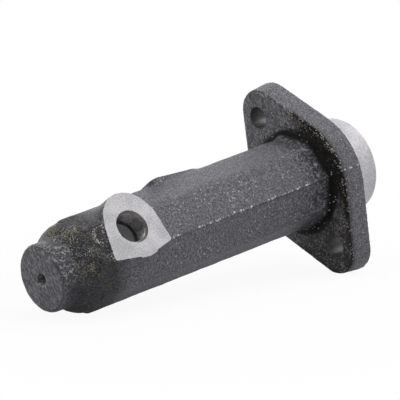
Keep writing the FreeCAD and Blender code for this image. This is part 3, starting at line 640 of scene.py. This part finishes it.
# %% [markdown]
# ## The rough blank
#
# The plain model is copied, its holes are plugged as they are in a fresh casting, and a voxel
# remesh lays an even net of small faces over it. That net is what the sand grain can move.


# %% Helpers for solid tools
def object_of(name, mesh):
    """A new object in the scene that holds a mesh."""
    piece = bpy.data.objects.new(name, mesh)
    bpy.context.scene.collection.objects.link(piece)
    return piece


def finished_mesh(piece, name):
    """The piece's mesh with its modifiers applied; the piece itself is removed."""
    graph = bpy.context.evaluated_depsgraph_get()
    mesh = bpy.data.meshes.new_from_object(piece.evaluated_get(graph))
    mesh.name = name
    bpy.data.objects.remove(piece, do_unlink=True)
    return mesh


def built(name, bm):
    """A new object that holds a bmesh."""
    mesh = bpy.data.meshes.new(name)
    bm.to_mesh(mesh)
    bm.free()
    return object_of(name, mesh)


def merged_copy(node, name):
    """A copy of a model node whose loose triangles are joined into one closed mesh."""
    bm = bmesh.new()
    bm.from_mesh(nodes[node].data)
    bmesh.ops.remove_doubles(bm, verts=bm.verts, dist=1e-6)
    return built(name, bm)


def skinned(name, rings, transform=None, loop=False, caps=False):
    """A closed mesh over rings of points; a ring of one point is a tip."""
    bm = bmesh.new()
    rings = [[bm.verts.new(point) for point in ring] for ring in rings]
    steps = max(len(ring) for ring in rings)
    for first, second in zip(rings, rings[1:] + rings[:1] if loop else rings[1:]):
        for step in range(steps):
            following = (step + 1) % steps
            corners = [
                first[step % len(first)], first[following % len(first)],
                second[following % len(second)], second[step % len(second)],
            ]
            unique = list(dict.fromkeys(corners))
            if len(unique) > 2:
                bm.faces.new(unique)
    if caps:
        bm.faces.new(rings[0])
        bm.faces.new(rings[-1])
    bmesh.ops.recalc_face_normals(bm, faces=bm.faces)
    if transform:
        bm.transform(transform)
    return built(name, bm)


def circle(radius, along, steps):
    """Points round the Z axis at a height."""
    if radius == 0:
        return [(0, 0, along)]
    turns = [2 * math.pi * step / steps for step in range(steps)]
    return [(radius * math.cos(turn), radius * math.sin(turn), along) for turn in turns]


def aimed(start, axis):
    """Moves the Z axis to a start and a direction."""
    return Matrix.Translation(start) @ Vector(axis).to_track_quat("Z", "Y").to_matrix().to_4x4()


def lathe(name, profile, steps=160, start=(0, 0, 0), axis=(1, 0, 0), loop=False):
    """A closed solid turned from (along, radius) pairs, from tip to tip or round a loop."""
    rings = [circle(radius, along, steps) for along, radius in profile]
    return skinned(name, rings, aimed(start, axis), loop)


def rod(name, start, axis, length, radius, steps=64):
    """A plain cylinder from a start along an axis."""
    return lathe(name, [(0, 0), (0, radius), (length, radius), (length, 0)], steps, start, axis)


def cut_or_fill(piece, tool, operation="DIFFERENCE"):
    """Joins a tool to a piece, or cuts it away, and drops the tool."""
    change = piece.modifiers.new(tool.name, "BOOLEAN")
    change.operation = operation
    change.solver = "MANIFOLD"
    change.object = tool
    graph = bpy.context.evaluated_depsgraph_get()
    mesh = bpy.data.meshes.new_from_object(piece.evaluated_get(graph))
    piece.modifiers.clear()
    old = piece.data
    piece.data = mesh
    bpy.data.meshes.remove(old)
    bpy.data.objects.remove(tool, do_unlink=True)
    if not len(mesh.polygons):
        raise RuntimeError(f"{piece.name} vanished")


# %% Plug the holes
PROUD = 0.35 * MM
NET = 0.64 * MM
PLUG_DEPTH = 12 * MM

blank = merged_copy("cylinder_body", "blank")
plug_radius = PORT_MOUTH_RADIUS + PROUD
outlet_start = (outlet_place.x, OUTLET_FACE - PROUD, outlet_place.z)
inlet_start = (inlet_place.x, 0, INLET_FACE + PROUD)
bore_length = spigot_end - POCKET_END + 2 * PROUD
plugs = [
    ("bore_plug", (POCKET_END - PROUD, 0, 0), (1, 0, 0), bore_length, MOUTH_RADIUS + MM),
    ("outlet_plug", outlet_start, (0, 1, 0), PLUG_DEPTH, plug_radius),
    ("inlet_plug", inlet_start, (0, 0, -1), PLUG_DEPTH, plug_radius),
]
for up in (bolt_offset, -bolt_offset):
    plugs.append(("bolt_plug", (FLANGE_FRONT, 0, up), (1, 0, 0), PROUD - FLANGE_FRONT, bolt_radius + PROUD))
for plug in plugs:
    cut_or_fill(blank, rod(*plug), "UNION")

net = blank.modifiers.new("net", "REMESH")
net.mode = "VOXEL"
net.voxel_size = NET
blank = object_of("blank", finished_mesh(blank, "blank"))
print("blank net:", len(blank.data.polygons), "faces")

# %% [markdown]
# ## The sand's grain
#
# Where the metal ran against sand, the skin has lumps a few millimetres wide and a finer grain
# on them. The two halves of the mould leave a broken ridge along the side, and the pads blend
# into the barrel. Surfaces that will be machined get a little extra metal, as on a real casting.

# %% Mark the skin
count = len(blank.data.vertices)
points = np.zeros(count * 3)
facing = np.zeros(count * 3)
blank.data.vertices.foreach_get("co", points)
blank.data.vertices.foreach_get("normal", facing)
x, y, z = points.reshape(-1, 3).T
face_x, face_y, face_z = facing.reshape(-1, 3).T


def faded(values, near, far):
    """1 where a value is under near, 0 over far and straight between them."""
    return np.clip((far - values) / (far - near), 0, 1)


from_axis = np.hypot(y, z)
from_outlet = np.hypot(x - outlet_place.x, z - outlet_place.z)
on_outlet = faded(from_outlet, 16 * MM, 18 * MM) * (z > outlet_place.z - 13.5 * MM)
on_inlet = faded(np.abs(x - inlet_place.x), INLET_PAD_REACH, INLET_PAD_REACH + MM)
on_inlet *= np.abs(y) < 12 * MM
stock_back = faded(-x, 0.3 * MM, 0.9 * MM)
stock_outlet = faded(y, OUTLET_FACE + 0.15 * MM, OUTLET_FACE + 0.4 * MM) * on_outlet
stock_inlet = faded(-z, -INLET_FACE + 0.3 * MM, -INLET_FACE + 0.7 * MM) * on_inlet
stock = np.maximum.reduce([stock_back, stock_outlet, stock_inlet])

# The pads blend into the barrel at their foot.
soft = faded(np.abs(from_outlet - 13 * MM), 4 * MM, 7 * MM) * (y < 0)
soft *= faded(OUTLET_FACE + 1.1 * MM - y, 0, 0.6 * MM)
soft = np.maximum(soft, on_inlet * faded(z, INLET_FACE - 0.9 * MM, INLET_FACE - 0.4 * MM) * (z > 0))

# The seam, the swollen end boss and its dimple change the shape.
seam = np.clip(1 - np.abs(z - PARTING_LEVEL) / (1.6 * MM), 0, 1) ** 2
seam *= (x < FLANGE_FRONT) & (from_axis > 15 * MM)
swell = faded(x, -131 * MM, -128 * MM)
on_end = x < closed_end + 2 * MM
dimple = np.exp(-(from_axis / (1.9 * MM)) ** 2) * on_end
print("machined stock on", int((stock > 0.5).sum()), "points, seam on", int((seam > 0.5).sum()))

# %% [markdown]
# ## Where the skin is worn, dirty or coarse, and where shade is painted
#
# Cast iron isn't one colour. Its sharp edges are rubbed pale, a beige deposit lies round the shoulder and
# dust settles on the sides. Painted shade darkens the flange's front round the barrel and at its sides,
# the underside of the shoulder and the barrel beside the outlet port. Near the flange's root and the
# closed end the sand was coarser. Each is a mask from 0 to 1 that the cast finish reads as an
# attribute, and the coarse one also roughens the shape.

# %% Mark the wear and the dirt
streak = faded(-np.abs(face_x), -0.95, -0.7)

# Worn: the flange's front edge, the outlet pad's wall and a lip under the turning centre.
rim = faded(x, FLANGE_FRONT + 0.7 * MM, FLANGE_FRONT + 1.6 * MM) * (from_axis > 24 * MM)
rim *= faded(np.abs(np.abs(face_x) - 0.62), 0.30, 0.42) * (face_y < 0.3)
wall = on_outlet * faded(y, OUTLET_FACE + 0.7 * MM, OUTLET_FACE + 1.4 * MM) * (x < outlet_place.x)
lip = np.exp(-((from_axis - 2.4 * MM) / (0.9 * MM)) ** 2)
lip *= on_end & (z < -0.3 * MM)
rim = np.maximum.reduce([rim, wall, lip])

# Deposit and coarse sand lie on the side that faces up and towards -Y.
lit_side = faded(-(face_z - face_y), -0.6, 0.1)
deposit = faded(np.abs(x - SHOULDER), 2.5 * MM, 5.5 * MM) * lit_side
near_root = faded(np.abs(x - FLANGE_FRONT), 5 * MM, 16 * MM) * faded(from_axis, 21 * MM, 25 * MM)
near_shoulder = faded(x, SHOULDER + 3 * MM, SHOULDER + 14 * MM)
coarse = np.clip(near_root + near_shoulder * lit_side, 0, 1)

# Painted shade: the flange's front round the barrel and at its sides, then under the shoulder and beside
# the port.
on_front = faded(np.abs(x - FLANGE_FRONT), 1.4 * MM, 3 * MM) * faded(face_x, -0.35, 0.0)
shade = faded(from_axis, 20.8 * MM, 22.2 * MM) + faded(y, -19 * MM, -13 * MM)
shade += faded(z, -24 * MM, -12 * MM) * 0.75
shade = on_front * np.clip(shade, 0.15, 1)
under_shoulder = faded(np.abs(x - SHOULDER), 7 * MM, 11 * MM) * (1 - lit_side) * (x > closed_end + MM)
shade = np.maximum(shade, under_shoulder * 0.6)
beside_port = faded(x, -119 * MM, -111 * MM) * faded(-x, 129 * MM, 132 * MM)
shade = np.maximum(shade, beside_port * 0.7)
dusty = faded(face_z, 0.2, 0.6) * faded(-x, 95 * MM, 110 * MM)
marks_on_skin = {
    "stock": stock, "soft": soft, "seam": seam, "swell": swell, "dimple": dimple, "streak": streak,
    "rim": rim, "deposit": deposit, "coarse": coarse, "shade": shade, "dusty": dusty,
}
for name, values in marks_on_skin.items():
    layer = blank.data.attributes.new(name, "FLOAT", "POINT")
    layer.data.foreach_set("value", np.clip(values, 0, 1).astype(np.float32))
print("marks on the skin:", ", ".join(marks_on_skin))

# %% Raise the stock and the boss
STOCK_HEIGHT = 0.6 * MM
BOSS_GROWTH = 0.9 * MM
FLASH_STEP = 0.5 * MM
PIT_RADIUS = 0.8 * MM
PIT_DEPTH = 0.7 * MM
PIT_PLACES = ((9.3 * MM, 4.0 * MM), (7.2 * MM, 2.9 * MM))
raised = np.stack([stock_back, -stock_outlet, stock_inlet], axis=1) * STOCK_HEIGHT
raised[:, 0] -= faded(x, -137 * MM, -131 * MM) * BOSS_GROWTH
under_pad = (x > outlet_place.x - 2.9 * MM) & (x < outlet_place.x + 4.6 * MM) & (face_z < -0.5)
raised[:, 2] -= (under_pad & (y < OUTLET_FACE + 2.5 * MM)) * FLASH_STEP
for pit_y, pit_z in PIT_PLACES:
    from_pit = np.hypot(y - pit_y, z - pit_z)
    raised[:, 0] += np.exp(-(from_pit / PIT_RADIUS) ** 2) * (x < closed_end + MM) * PIT_DEPTH
layer = blank.data.attributes.new("raised", "FLOAT_VECTOR", "POINT")
layer.data.foreach_set("vector", raised.astype(np.float32).ravel())
print("raised by up to", round(float(np.abs(raised).max()) / MM, 2), "mm")


# %% Grow the grain
def sand_skin_tree():
    """Blends the pads' roots, then moves each point outwards by lumps, grain, seam and stock."""
    tree, given, result = new_group("sand_skin", "GeometryNodeTree", [
        ("Geometry", "NodeSocketGeometry", None),
        ("Blend Steps", "NodeSocketInt", 7),
        ("Lump Scale", "NodeSocketFloat", 230.0),
        ("Lump Height", "NodeSocketFloat", 0.30 * MM),
        ("Grain Scale", "NodeSocketFloat", 700.0),
        ("Grain Height", "NodeSocketFloat", 0.22 * MM),
        ("Seam Height", "NodeSocketFloat", 0.33 * MM),
        ("Swell", "NodeSocketFloat", 0.25 * MM),
        ("Dimple Depth", "NodeSocketFloat", 0.9 * MM),
    ], [("Geometry", "NodeSocketGeometry")])
    place = add_node(tree, "GeometryNodeInputPosition")
    normal = add_node(tree, "GeometryNodeInputNormal")
    at = place.outputs[0]
    lump = noise(tree, at, given["Lump Scale"], Detail=2.0, Roughness=0.5)
    grain = noise(tree, at, given["Grain Scale"], Detail=1.0, Roughness=0.5, Distortion=0.6)
    reads = {}
    for name in ("stock", "seam", "soft", "coarse", "swell", "dimple", "raised"):
        kind = "FLOAT_VECTOR" if name == "raised" else "FLOAT"
        node = add_node(tree, "GeometryNodeInputNamedAttribute", data_type=kind)
        node.inputs["Name"].default_value = name
        reads[name] = node.outputs[0]
    blurred = add_node(tree, "GeometryNodeBlurAttribute", data_type="FLOAT_VECTOR")
    blended = add_node(tree, "ShaderNodeMix", data_type="VECTOR")
    settle = add_node(tree, "GeometryNodeSetPosition")
    link_chain(
        tree, place.outputs[0], blurred.inputs["Value"],
        given["Blend Steps"], blurred.inputs["Iterations"],
        reads["soft"], blended.inputs[0], place.outputs[0], blended.inputs[4],
        blurred.outputs["Value"], blended.inputs[5], given["Geometry"], settle.inputs["Geometry"],
        blended.outputs[1], settle.inputs["Position"],
    )
    rough = calculate(tree, "MULTIPLY_ADD", reads["coarse"], 0.9, 0.6)
    lumps = minus(tree, lump, 0.5)
    lumps = times(tree, lumps, given["Lump Height"])
    grains = minus(tree, grain, 0.5)
    grains = times(tree, grains, given["Grain Height"])
    grains = times(tree, grains, rough)
    skin = plus(tree, lumps, grains)
    shapes = (("seam", "Seam Height", 1), ("swell", "Swell", 1), ("dimple", "Dimple Depth", -1))
    for name, label, sign in shapes:
        depth = times(tree, given[label], sign)
        skin = calculate(tree, "MULTIPLY_ADD", reads[name], depth, skin)
    height = times(tree, skin, minus(tree, 1.0, reads["stock"]))
    push = add_node(tree, "ShaderNodeVectorMath", operation="SCALE")
    lift = add_node(tree, "ShaderNodeVectorMath", operation="ADD")
    move = add_node(tree, "GeometryNodeSetPosition")
    real = add_node(tree, "GeometryNodeRealizeInstances")
    coat = add_node(tree, "GeometryNodeSetMaterial")
    coat.inputs["Material"].default_value = cast_finish
    link_chain(
        tree, normal.outputs[0], push.inputs[0], height, push.inputs["Scale"],
        push.outputs[0], lift.inputs[0], reads["raised"], lift.inputs[1],
        settle.outputs[0], move.inputs["Geometry"], lift.outputs[0], move.inputs["Offset"],
        move.outputs[0], real.inputs[0], real.outputs[0], coat.inputs["Geometry"],
        coat.outputs[0], result["Geometry"],
    )
    return tree


skin = blank.modifiers.new("sand_skin", "NODES")
skin.node_group = sand_skin_tree()
casting = object_of("casting", finished_mesh(blank, "casting"))
print("grown skin:", len(casting.data.polygons), "faces")

# %% [markdown]
# ## Machining
#
# Each tool is the space that the cutter clears. The lathe clears everything outside the spigot
# and behind the flange, then the bore. A mill flattens the two pads, and each port's tool
# carries the thread as a rise and fall of its radius along a helix.

# %% Turn the spigot, faces and bore
FAR = 60 * MM
CLEAR = 5 * MM
GROOVE_SLACK = 0.05 * MM

cut_or_fill(casting, lathe("turning", [
    (0, spigot_radius),
    (spigot_end - SPIGOT_CHAMFER, spigot_radius),
    (spigot_end, spigot_radius - SPIGOT_CHAMFER),
    (spigot_end, MOUTH_RADIUS - 2 * MM),
    (spigot_end + CLEAR, MOUTH_RADIUS - 2 * MM),
    (spigot_end + CLEAR, FAR),
    (0, FAR),
], loop=True))
groove_radius = clip_high.y + GROOVE_SLACK
groove_end = clip_high.x + GROOVE_SLACK
cut_or_fill(casting, lathe("boring", [
    (POCKET_END, 0),
    (POCKET_END, POCKET_RADIUS),
    (BORE_END, POCKET_RADIUS),
    (BORE_END, BORE_RADIUS),
    (MOUTH_SEAT - 2 * MOUTH_CHAMFER, BORE_RADIUS),
    (MOUTH_SEAT, BORE_RADIUS + MOUTH_CHAMFER),
    (MOUTH_SEAT, MOUTH_RADIUS),
    (washer_high.x, MOUTH_RADIUS),
    (washer_high.x, groove_radius),
    (groove_end, groove_radius),
    (groove_end, MOUTH_RADIUS),
    (spigot_end - EDGE_BREAK, MOUTH_RADIUS),
    (spigot_end + MM, MOUTH_RADIUS + EDGE_BREAK + MM),
    (spigot_end + MM, 0),
]))


def block(name, low, high):
    """A box between two corners."""
    bm = bmesh.new()
    bmesh.ops.create_cube(bm, size=1.0)
    centre = (Vector(low) + Vector(high)) / 2
    span = Vector(high) - Vector(low)
    bm.transform(Matrix.Translation(centre) @ Matrix.Diagonal(span).to_4x4())
    return built(name, bm)


for mill, low, high in (
    ("outlet_mill", (-130 * MM, -30 * MM, -14 * MM), (-80 * MM, OUTLET_FACE, 18 * MM)),
    ("inlet_mill", (-90 * MM, -14 * MM, INLET_FACE), (-40 * MM, 14 * MM, 30 * MM)),
):
    cut_or_fill(casting, block(mill, low, high))
for up in (bolt_offset, -bolt_offset):
    cut_or_fill(casting, rod("bolt_drill", (-20 * MM, 0, up), (1, 0, 0), 25 * MM, bolt_radius))
print("after turning and milling:", len(casting.data.polygons), "faces")


# %% Cut the threaded ports
def thread_tool(name, mouth, axis, depth, steps=64, rows_per_turn=8):
    """The clear space of a threaded port, from above its face down to its flat seat."""
    above = 1.0 * MM
    run_out = 1.1 * MM
    rows = int((depth + above) / THREAD_PITCH * rows_per_turn)
    thread_depth = THREAD_RADIUS - thread_minor
    rings = []
    for row in range(rows + 1):
        down = -above + (depth + above) * row / rows
        cone = PORT_MOUTH_RADIUS - down * (PORT_MOUTH_RADIUS - PORT_MOUTH_INNER) / PORT_MOUTH_DEPTH
        cone = cone if down < PORT_MOUTH_DEPTH else 0
        fade = min(1.0, max(0.0, (depth - run_out - down) / THREAD_PITCH))
        ring = []
        for step in range(steps):
            angle = 2 * math.pi * step / steps
            turn = (down / THREAD_PITCH + step / steps) % 1.0
            crest = max(0.0, 1 - abs(turn - 0.5) / 0.44)
            radius = max(thread_minor + thread_depth * crest * fade, cone)
            ring.append((radius * math.cos(angle), radius * math.sin(angle), down))
        rings.append(ring)
    return skinned(name, rings, aimed(mouth, axis), caps=True)


outlet_mouth = Vector((outlet_place.x, OUTLET_FACE, outlet_place.z))
inlet_mouth = Vector((inlet_place.x, 0, INLET_FACE))
cut_or_fill(casting, thread_tool("outlet_tap", outlet_mouth, (0, 1, 0), OUTLET_SEAT - OUTLET_FACE))
cut_or_fill(casting, thread_tool("inlet_tap", inlet_mouth, (0, 0, -1), INLET_FACE - INLET_BOTTOM))
passages = [
    ("outlet_passage", (outlet_place.x, OUTLET_SEAT - MM, outlet_place.z), (0, 1, 0), 8 * MM, 1.5 * MM),
    ("compensating_hole", (inlet_place.x - 4.4 * MM, 0, INLET_BOTTOM + MM), (0, 0, -1), 8 * MM, 0.4 * MM),
    ("feed_hole", (inlet_place.x + 4.4 * MM, 0, INLET_BOTTOM + MM), (0, 0, -1), 8 * MM, 1.2 * MM),
]
for passage in passages:
    cut_or_fill(casting, rod(*passage, steps=32))
centre = lathe("centre_drill", [(-2 * MM, 0), (-2 * MM, 2.4 * MM), (2.8 * MM, 0)], 32, (closed_end, 0, 0))
cut_or_fill(casting, centre)
print("after drilling:", len(casting.data.polygons), "faces")

# %% [markdown]
# ## Finishes on the casting
#
# Which surface a tool cut can be told from its place alone: the mounting face, the spigot, the
# bore and the two milled faces lie exactly where their tool left them, and the skin does not.
# A port has three finishes: its chamfered mouth, its thread and its flat seat.

# %% Give each surface its finish
TOUCH = 0.01 * MM
TURNED, DRILLED, THREADED, MILLED, CHAMFERED = 1, 2, 3, 4, 5
mesh = casting.data
count = len(mesh.polygons)
centres = np.zeros(count * 3)
normals = np.zeros(count * 3)
mesh.polygons.foreach_get("center", centres)
mesh.polygons.foreach_get("normal", normals)
cx, cy, cz = centres.reshape(-1, 3).T
nx, ny, nz = normals.reshape(-1, 3).T
radius = np.hypot(cy, cz)
near_outlet = np.hypot(cx - outlet_place.x, cz - outlet_place.z)
near_inlet = np.hypot(cx - inlet_place.x, cy)
turned = (cx > -TOUCH) | ((radius < MOUTH_RADIUS + 1.2 * MM) & (cx > POCKET_END - TOUCH) & (cx < 0))
milled = (np.abs(cy - OUTLET_FACE) < TOUCH) & (ny < -0.999) & (near_outlet < 18 * MM)
milled |= (np.abs(cz - INLET_FACE) < TOUCH) & (nz > 0.999) & (near_inlet < 20 * MM)
threaded = (near_outlet < PORT_MOUTH_RADIUS + TOUCH) & (cy > OUTLET_FACE + TOUCH) & (cy < -4 * MM)
threaded |= (near_inlet < PORT_MOUTH_RADIUS + TOUCH) & (cz < INLET_FACE - TOUCH) & (cz > 9 * MM)
milled |= (near_outlet < THREAD_RADIUS) & (np.abs(cy - OUTLET_SEAT) < TOUCH) & (ny < -0.99)
chamfered = threaded & (near_outlet > PORT_MOUTH_INNER) & (ny < -0.2)
chamfered &= cy < OUTLET_FACE + PORT_MOUTH_DEPTH
drilled = np.zeros(count, bool)
for up in (bolt_offset, -bolt_offset):
    drilled |= (np.hypot(cy, cz - up) < bolt_radius + TOUCH) & (cx < -TOUCH) & (np.abs(nx) < 0.2)
slots = np.zeros(count, np.int32)
chosen_finishes = (
    (turned, TURNED), (drilled, DRILLED), (threaded, THREADED), (milled, MILLED), (chamfered, CHAMFERED),
)
for chosen, finish in chosen_finishes:
    slots[chosen] = finish
mesh.materials.clear()
for finish in casting_finishes:
    mesh.materials.append(finish)
mesh.polygons.foreach_set("material_index", slots)
mesh.polygons.foreach_set("use_smooth", np.ones(count, bool))
mesh.set_sharp_from_angle(angle=math.radians(38))
bm = bmesh.new()
bm.from_mesh(mesh)
for edge in bm.edges:
    if len({face.material_index for face in edge.link_faces}) > 1:
        edge.smooth = False
bm.to_mesh(mesh)
bm.free()
mesh.calc_loop_triangles()
print("faces by finish:", [int((slots == index).sum()) for index in range(6)])
print("casting triangles:", len(mesh.loop_triangles))

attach(casting, "cylinder")
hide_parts("cylinder_body")

# %% [markdown]
# ## The pieces in the bore
#
# The piston is turned aluminium, the washers and the spring's retainer are thin plated steel, the
# circlip is dark spring steel and the cups are black rubber. Their shapes come from the model.
# Each copy gets small rounded edges, because a sharp edge never catches the light.


# %% Finishes of the small pieces
def make_rubber():
    """Black moulded rubber: nearly even, with a bloom of pale powder."""
    material, tree, shader = new_finish("cup_rubber", roughness=0.55)
    marks = use_group(tree, "marks", Ring_Share=0.0, Grain_Scale=2500.0)
    bloom = stepped(tree, marks.outputs["Tone"], 0.40, 0.70)
    tree.links.new(mixed(tree, bloom, grey(0.014), grey(0.030)), shader.inputs["Base Color"])
    add_bump(tree, shader, marks.outputs["Height"], 0.015 * MM)
    return material


ZINC = ((0.62, 0.60, 0.50, 1), (0.50, 0.50, 0.46, 1))
piston_finish = make_cut_finish("turned_aluminium", grey(0.74), grey(0.60), 1.0, 0.30, 0.012 * MM)
zinc_finish = make_cut_finish("zinc_plate", *ZINC, 1.0, 0.34, 0.010 * MM, Ring_Share=0.0)
clip_finish = make_cut_finish(
    "phosphated_steel", grey(0.085), grey(0.035), 0.7, 0.42, 0.015 * MM, Ring_Share=0.0,
)
wire_finish = make_cut_finish("drawn_wire", grey(0.52), grey(0.38), 1.0, 0.28, 0.006 * MM, Ring_Share=0.0)
rubber_finish = make_rubber()


# %% Round the edges
def dress_piece(node, body, finish, edge):
    """A smooth copy of a model node with rounded edges and a finish, which stands for the node."""
    piece = merged_copy(node, node + "_look")
    bm = bmesh.new()
    bm.from_mesh(piece.data)
    bmesh.ops.dissolve_limit(bm, angle_limit=math.radians(0.5), verts=bm.verts, edges=bm.edges)
    bm.to_mesh(piece.data)
    bm.free()
    if edge:
        bevel = piece.modifiers.new("edge", "BEVEL")
        bevel.width = edge
        bevel.segments = 2
        bevel.limit_method = "ANGLE"
        bevel.angle_limit = math.radians(35)
    piece = object_of(node + "_look", finished_mesh(piece, node + "_look"))
    mesh = piece.data
    mesh.materials.clear()
    mesh.materials.append(finish)
    mesh.polygons.foreach_set("use_smooth", np.ones(len(mesh.polygons), bool))
    mesh.set_sharp_from_angle(angle=math.radians(30))
    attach(piece, body)
    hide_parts(node)
    return piece


for node, body, slot, finish, edge in (
    ("piston", "piston_set", "piston_alloy", piston_finish, 0.08 * MM),
    ("primary_cup", "piston_set", "cup_rubber", rubber_finish, 0.15 * MM),
    ("secondary_cup", "piston_set", "cup_rubber", rubber_finish, 0.10 * MM),
    ("cup_washer", "piston_set", "thin_steel", zinc_finish, 0.05 * MM),
    ("spring_retainer", "piston_set", "thin_steel", zinc_finish, 0.15 * MM),
    ("stop_washer", "cylinder", "thin_steel", zinc_finish, 0.20 * MM),
    ("circlip", "cylinder", "clip_steel", clip_finish, 0.12 * MM),
):
    piece = dress_piece(node, body, finish, edge)
    print(piece.name, len(piece.data.polygons), "faces")

# %% [markdown]
# ## The return spring
#
# A coil spring is one wire along a helix, with a closed coil at each end that is ground flat. A
# node tree winds it from a straight line: each point's number gives its turn, the turn gives its
# angle, and the distance along the axis grows slowly over the two end coils.

# %% Wind the spring
WIRE = 1.3 * MM
TURNS = 11
STEPS_PER_TURN = 40
spring_low, spring_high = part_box("return_spring")


def spring_tree():
    """Winds a wire about the X axis, with one closed coil at each end."""
    tree, given, result = new_group("wound_spring", "GeometryNodeTree", [
        ("Geometry", "NodeSocketGeometry", None),
        ("Turns", "NodeSocketInt", TURNS),
        ("Steps", "NodeSocketInt", STEPS_PER_TURN),
        ("Radius", "NodeSocketFloat", 4.0 * MM),
        ("Wire", "NodeSocketFloat", WIRE),
        ("Start", "NodeSocketFloat", 0.0),
        ("Length", "NodeSocketFloat", 0.04),
    ], [("Geometry", "NodeSocketGeometry")])
    line = add_node(tree, "GeometryNodeCurvePrimitiveLine")
    many = add_node(tree, "GeometryNodeResampleCurve")
    number = add_node(tree, "GeometryNodeInputIndex")
    wind = add_node(tree, "GeometryNodeSetPosition")
    place = add_node(tree, "ShaderNodeCombineXYZ")
    section = add_node(tree, "GeometryNodeCurvePrimitiveCircle", Resolution=16)
    sweep = add_node(tree, "GeometryNodeCurveToMesh", Fill_Caps=True)
    real = add_node(tree, "GeometryNodeRealizeInstances")
    coat = add_node(tree, "GeometryNodeSetMaterial")
    coat.inputs["Material"].default_value = wire_finish
    count = calculate(tree, "MULTIPLY_ADD", given["Turns"], given["Steps"], 1.0)
    turn = calculate(tree, "DIVIDE", number.outputs[0], given["Steps"])
    angle = times(tree, turn, 2 * math.pi)
    open_turns = minus(tree, given["Turns"], 2.0)
    open_length = calculate(tree, "MULTIPLY_ADD", given["Wire"], -2.0, given["Length"])
    open_pitch = calculate(tree, "DIVIDE", open_length, open_turns)
    first = calculate(tree, "MINIMUM", turn, 1.0)
    after = minus(tree, turn, minus(tree, given["Turns"], 1.0))
    last = calculate(tree, "MAXIMUM", after, 0.0)
    middle = minus(tree, minus(tree, turn, first), last)
    closed = times(tree, plus(tree, first, last), given["Wire"])
    along = calculate(tree, "MULTIPLY_ADD", middle, open_pitch, closed)
    along = plus(tree, along, given["Start"])
    across = times(tree, calculate(tree, "COSINE", angle), given["Radius"])
    up = times(tree, calculate(tree, "SINE", angle), given["Radius"])
    link_chain(
        tree, line.outputs[0], many.inputs["Curve"], count, many.inputs["Count"],
        along, place.inputs["X"], across, place.inputs["Y"], up, place.inputs["Z"],
        many.outputs[0], wind.inputs["Geometry"], place.outputs[0], wind.inputs["Position"],
        times(tree, given["Wire"], 0.5), section.inputs["Radius"],
        wind.outputs[0], sweep.inputs["Curve"], section.outputs[0], sweep.inputs["Profile Curve"],
        sweep.outputs[0], real.inputs[0], real.outputs[0], coat.inputs["Geometry"],
        coat.outputs[0], result["Geometry"],
    )
    return tree


spring = object_of("return_spring_look", bpy.data.meshes.new("spring_seed"))
winding = spring.modifiers.new("winding", "NODES")
winding.node_group = spring_tree()
sockets = winding.node_group.interface.items_tree
inputs = {item.name: item.identifier for item in sockets if item.in_out == "INPUT"}
winding[inputs["Radius"]] = (spring_high.y - spring_low.y - WIRE) / 2
winding[inputs["Start"]] = spring_low.x + WIRE / 4
winding[inputs["Length"]] = spring_high.x - spring_low.x - WIRE / 2
spring = object_of("return_spring_look", finished_mesh(spring, "return_spring_look"))
bm = bmesh.new()
bm.from_mesh(spring.data)
for level, outwards in ((spring_low.x, -1), (spring_high.x, 1)):
    everything = bm.verts[:] + bm.edges[:] + bm.faces[:]
    found = bmesh.ops.bisect_plane(
        bm, geom=everything, plane_co=(level, 0, 0), plane_no=(outwards, 0, 0), clear_outer=True)
    rim_edges = [item for item in found["geom_cut"] if isinstance(item, bmesh.types.BMEdge)]
    bmesh.ops.holes_fill(bm, edges=rim_edges)
bm.to_mesh(spring.data)
bm.free()
spring.data.polygons.foreach_set("use_smooth", np.ones(len(spring.data.polygons), bool))
spring.data.set_sharp_from_angle(angle=math.radians(40))
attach(spring, "cylinder")
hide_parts("return_spring")
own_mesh(spring)
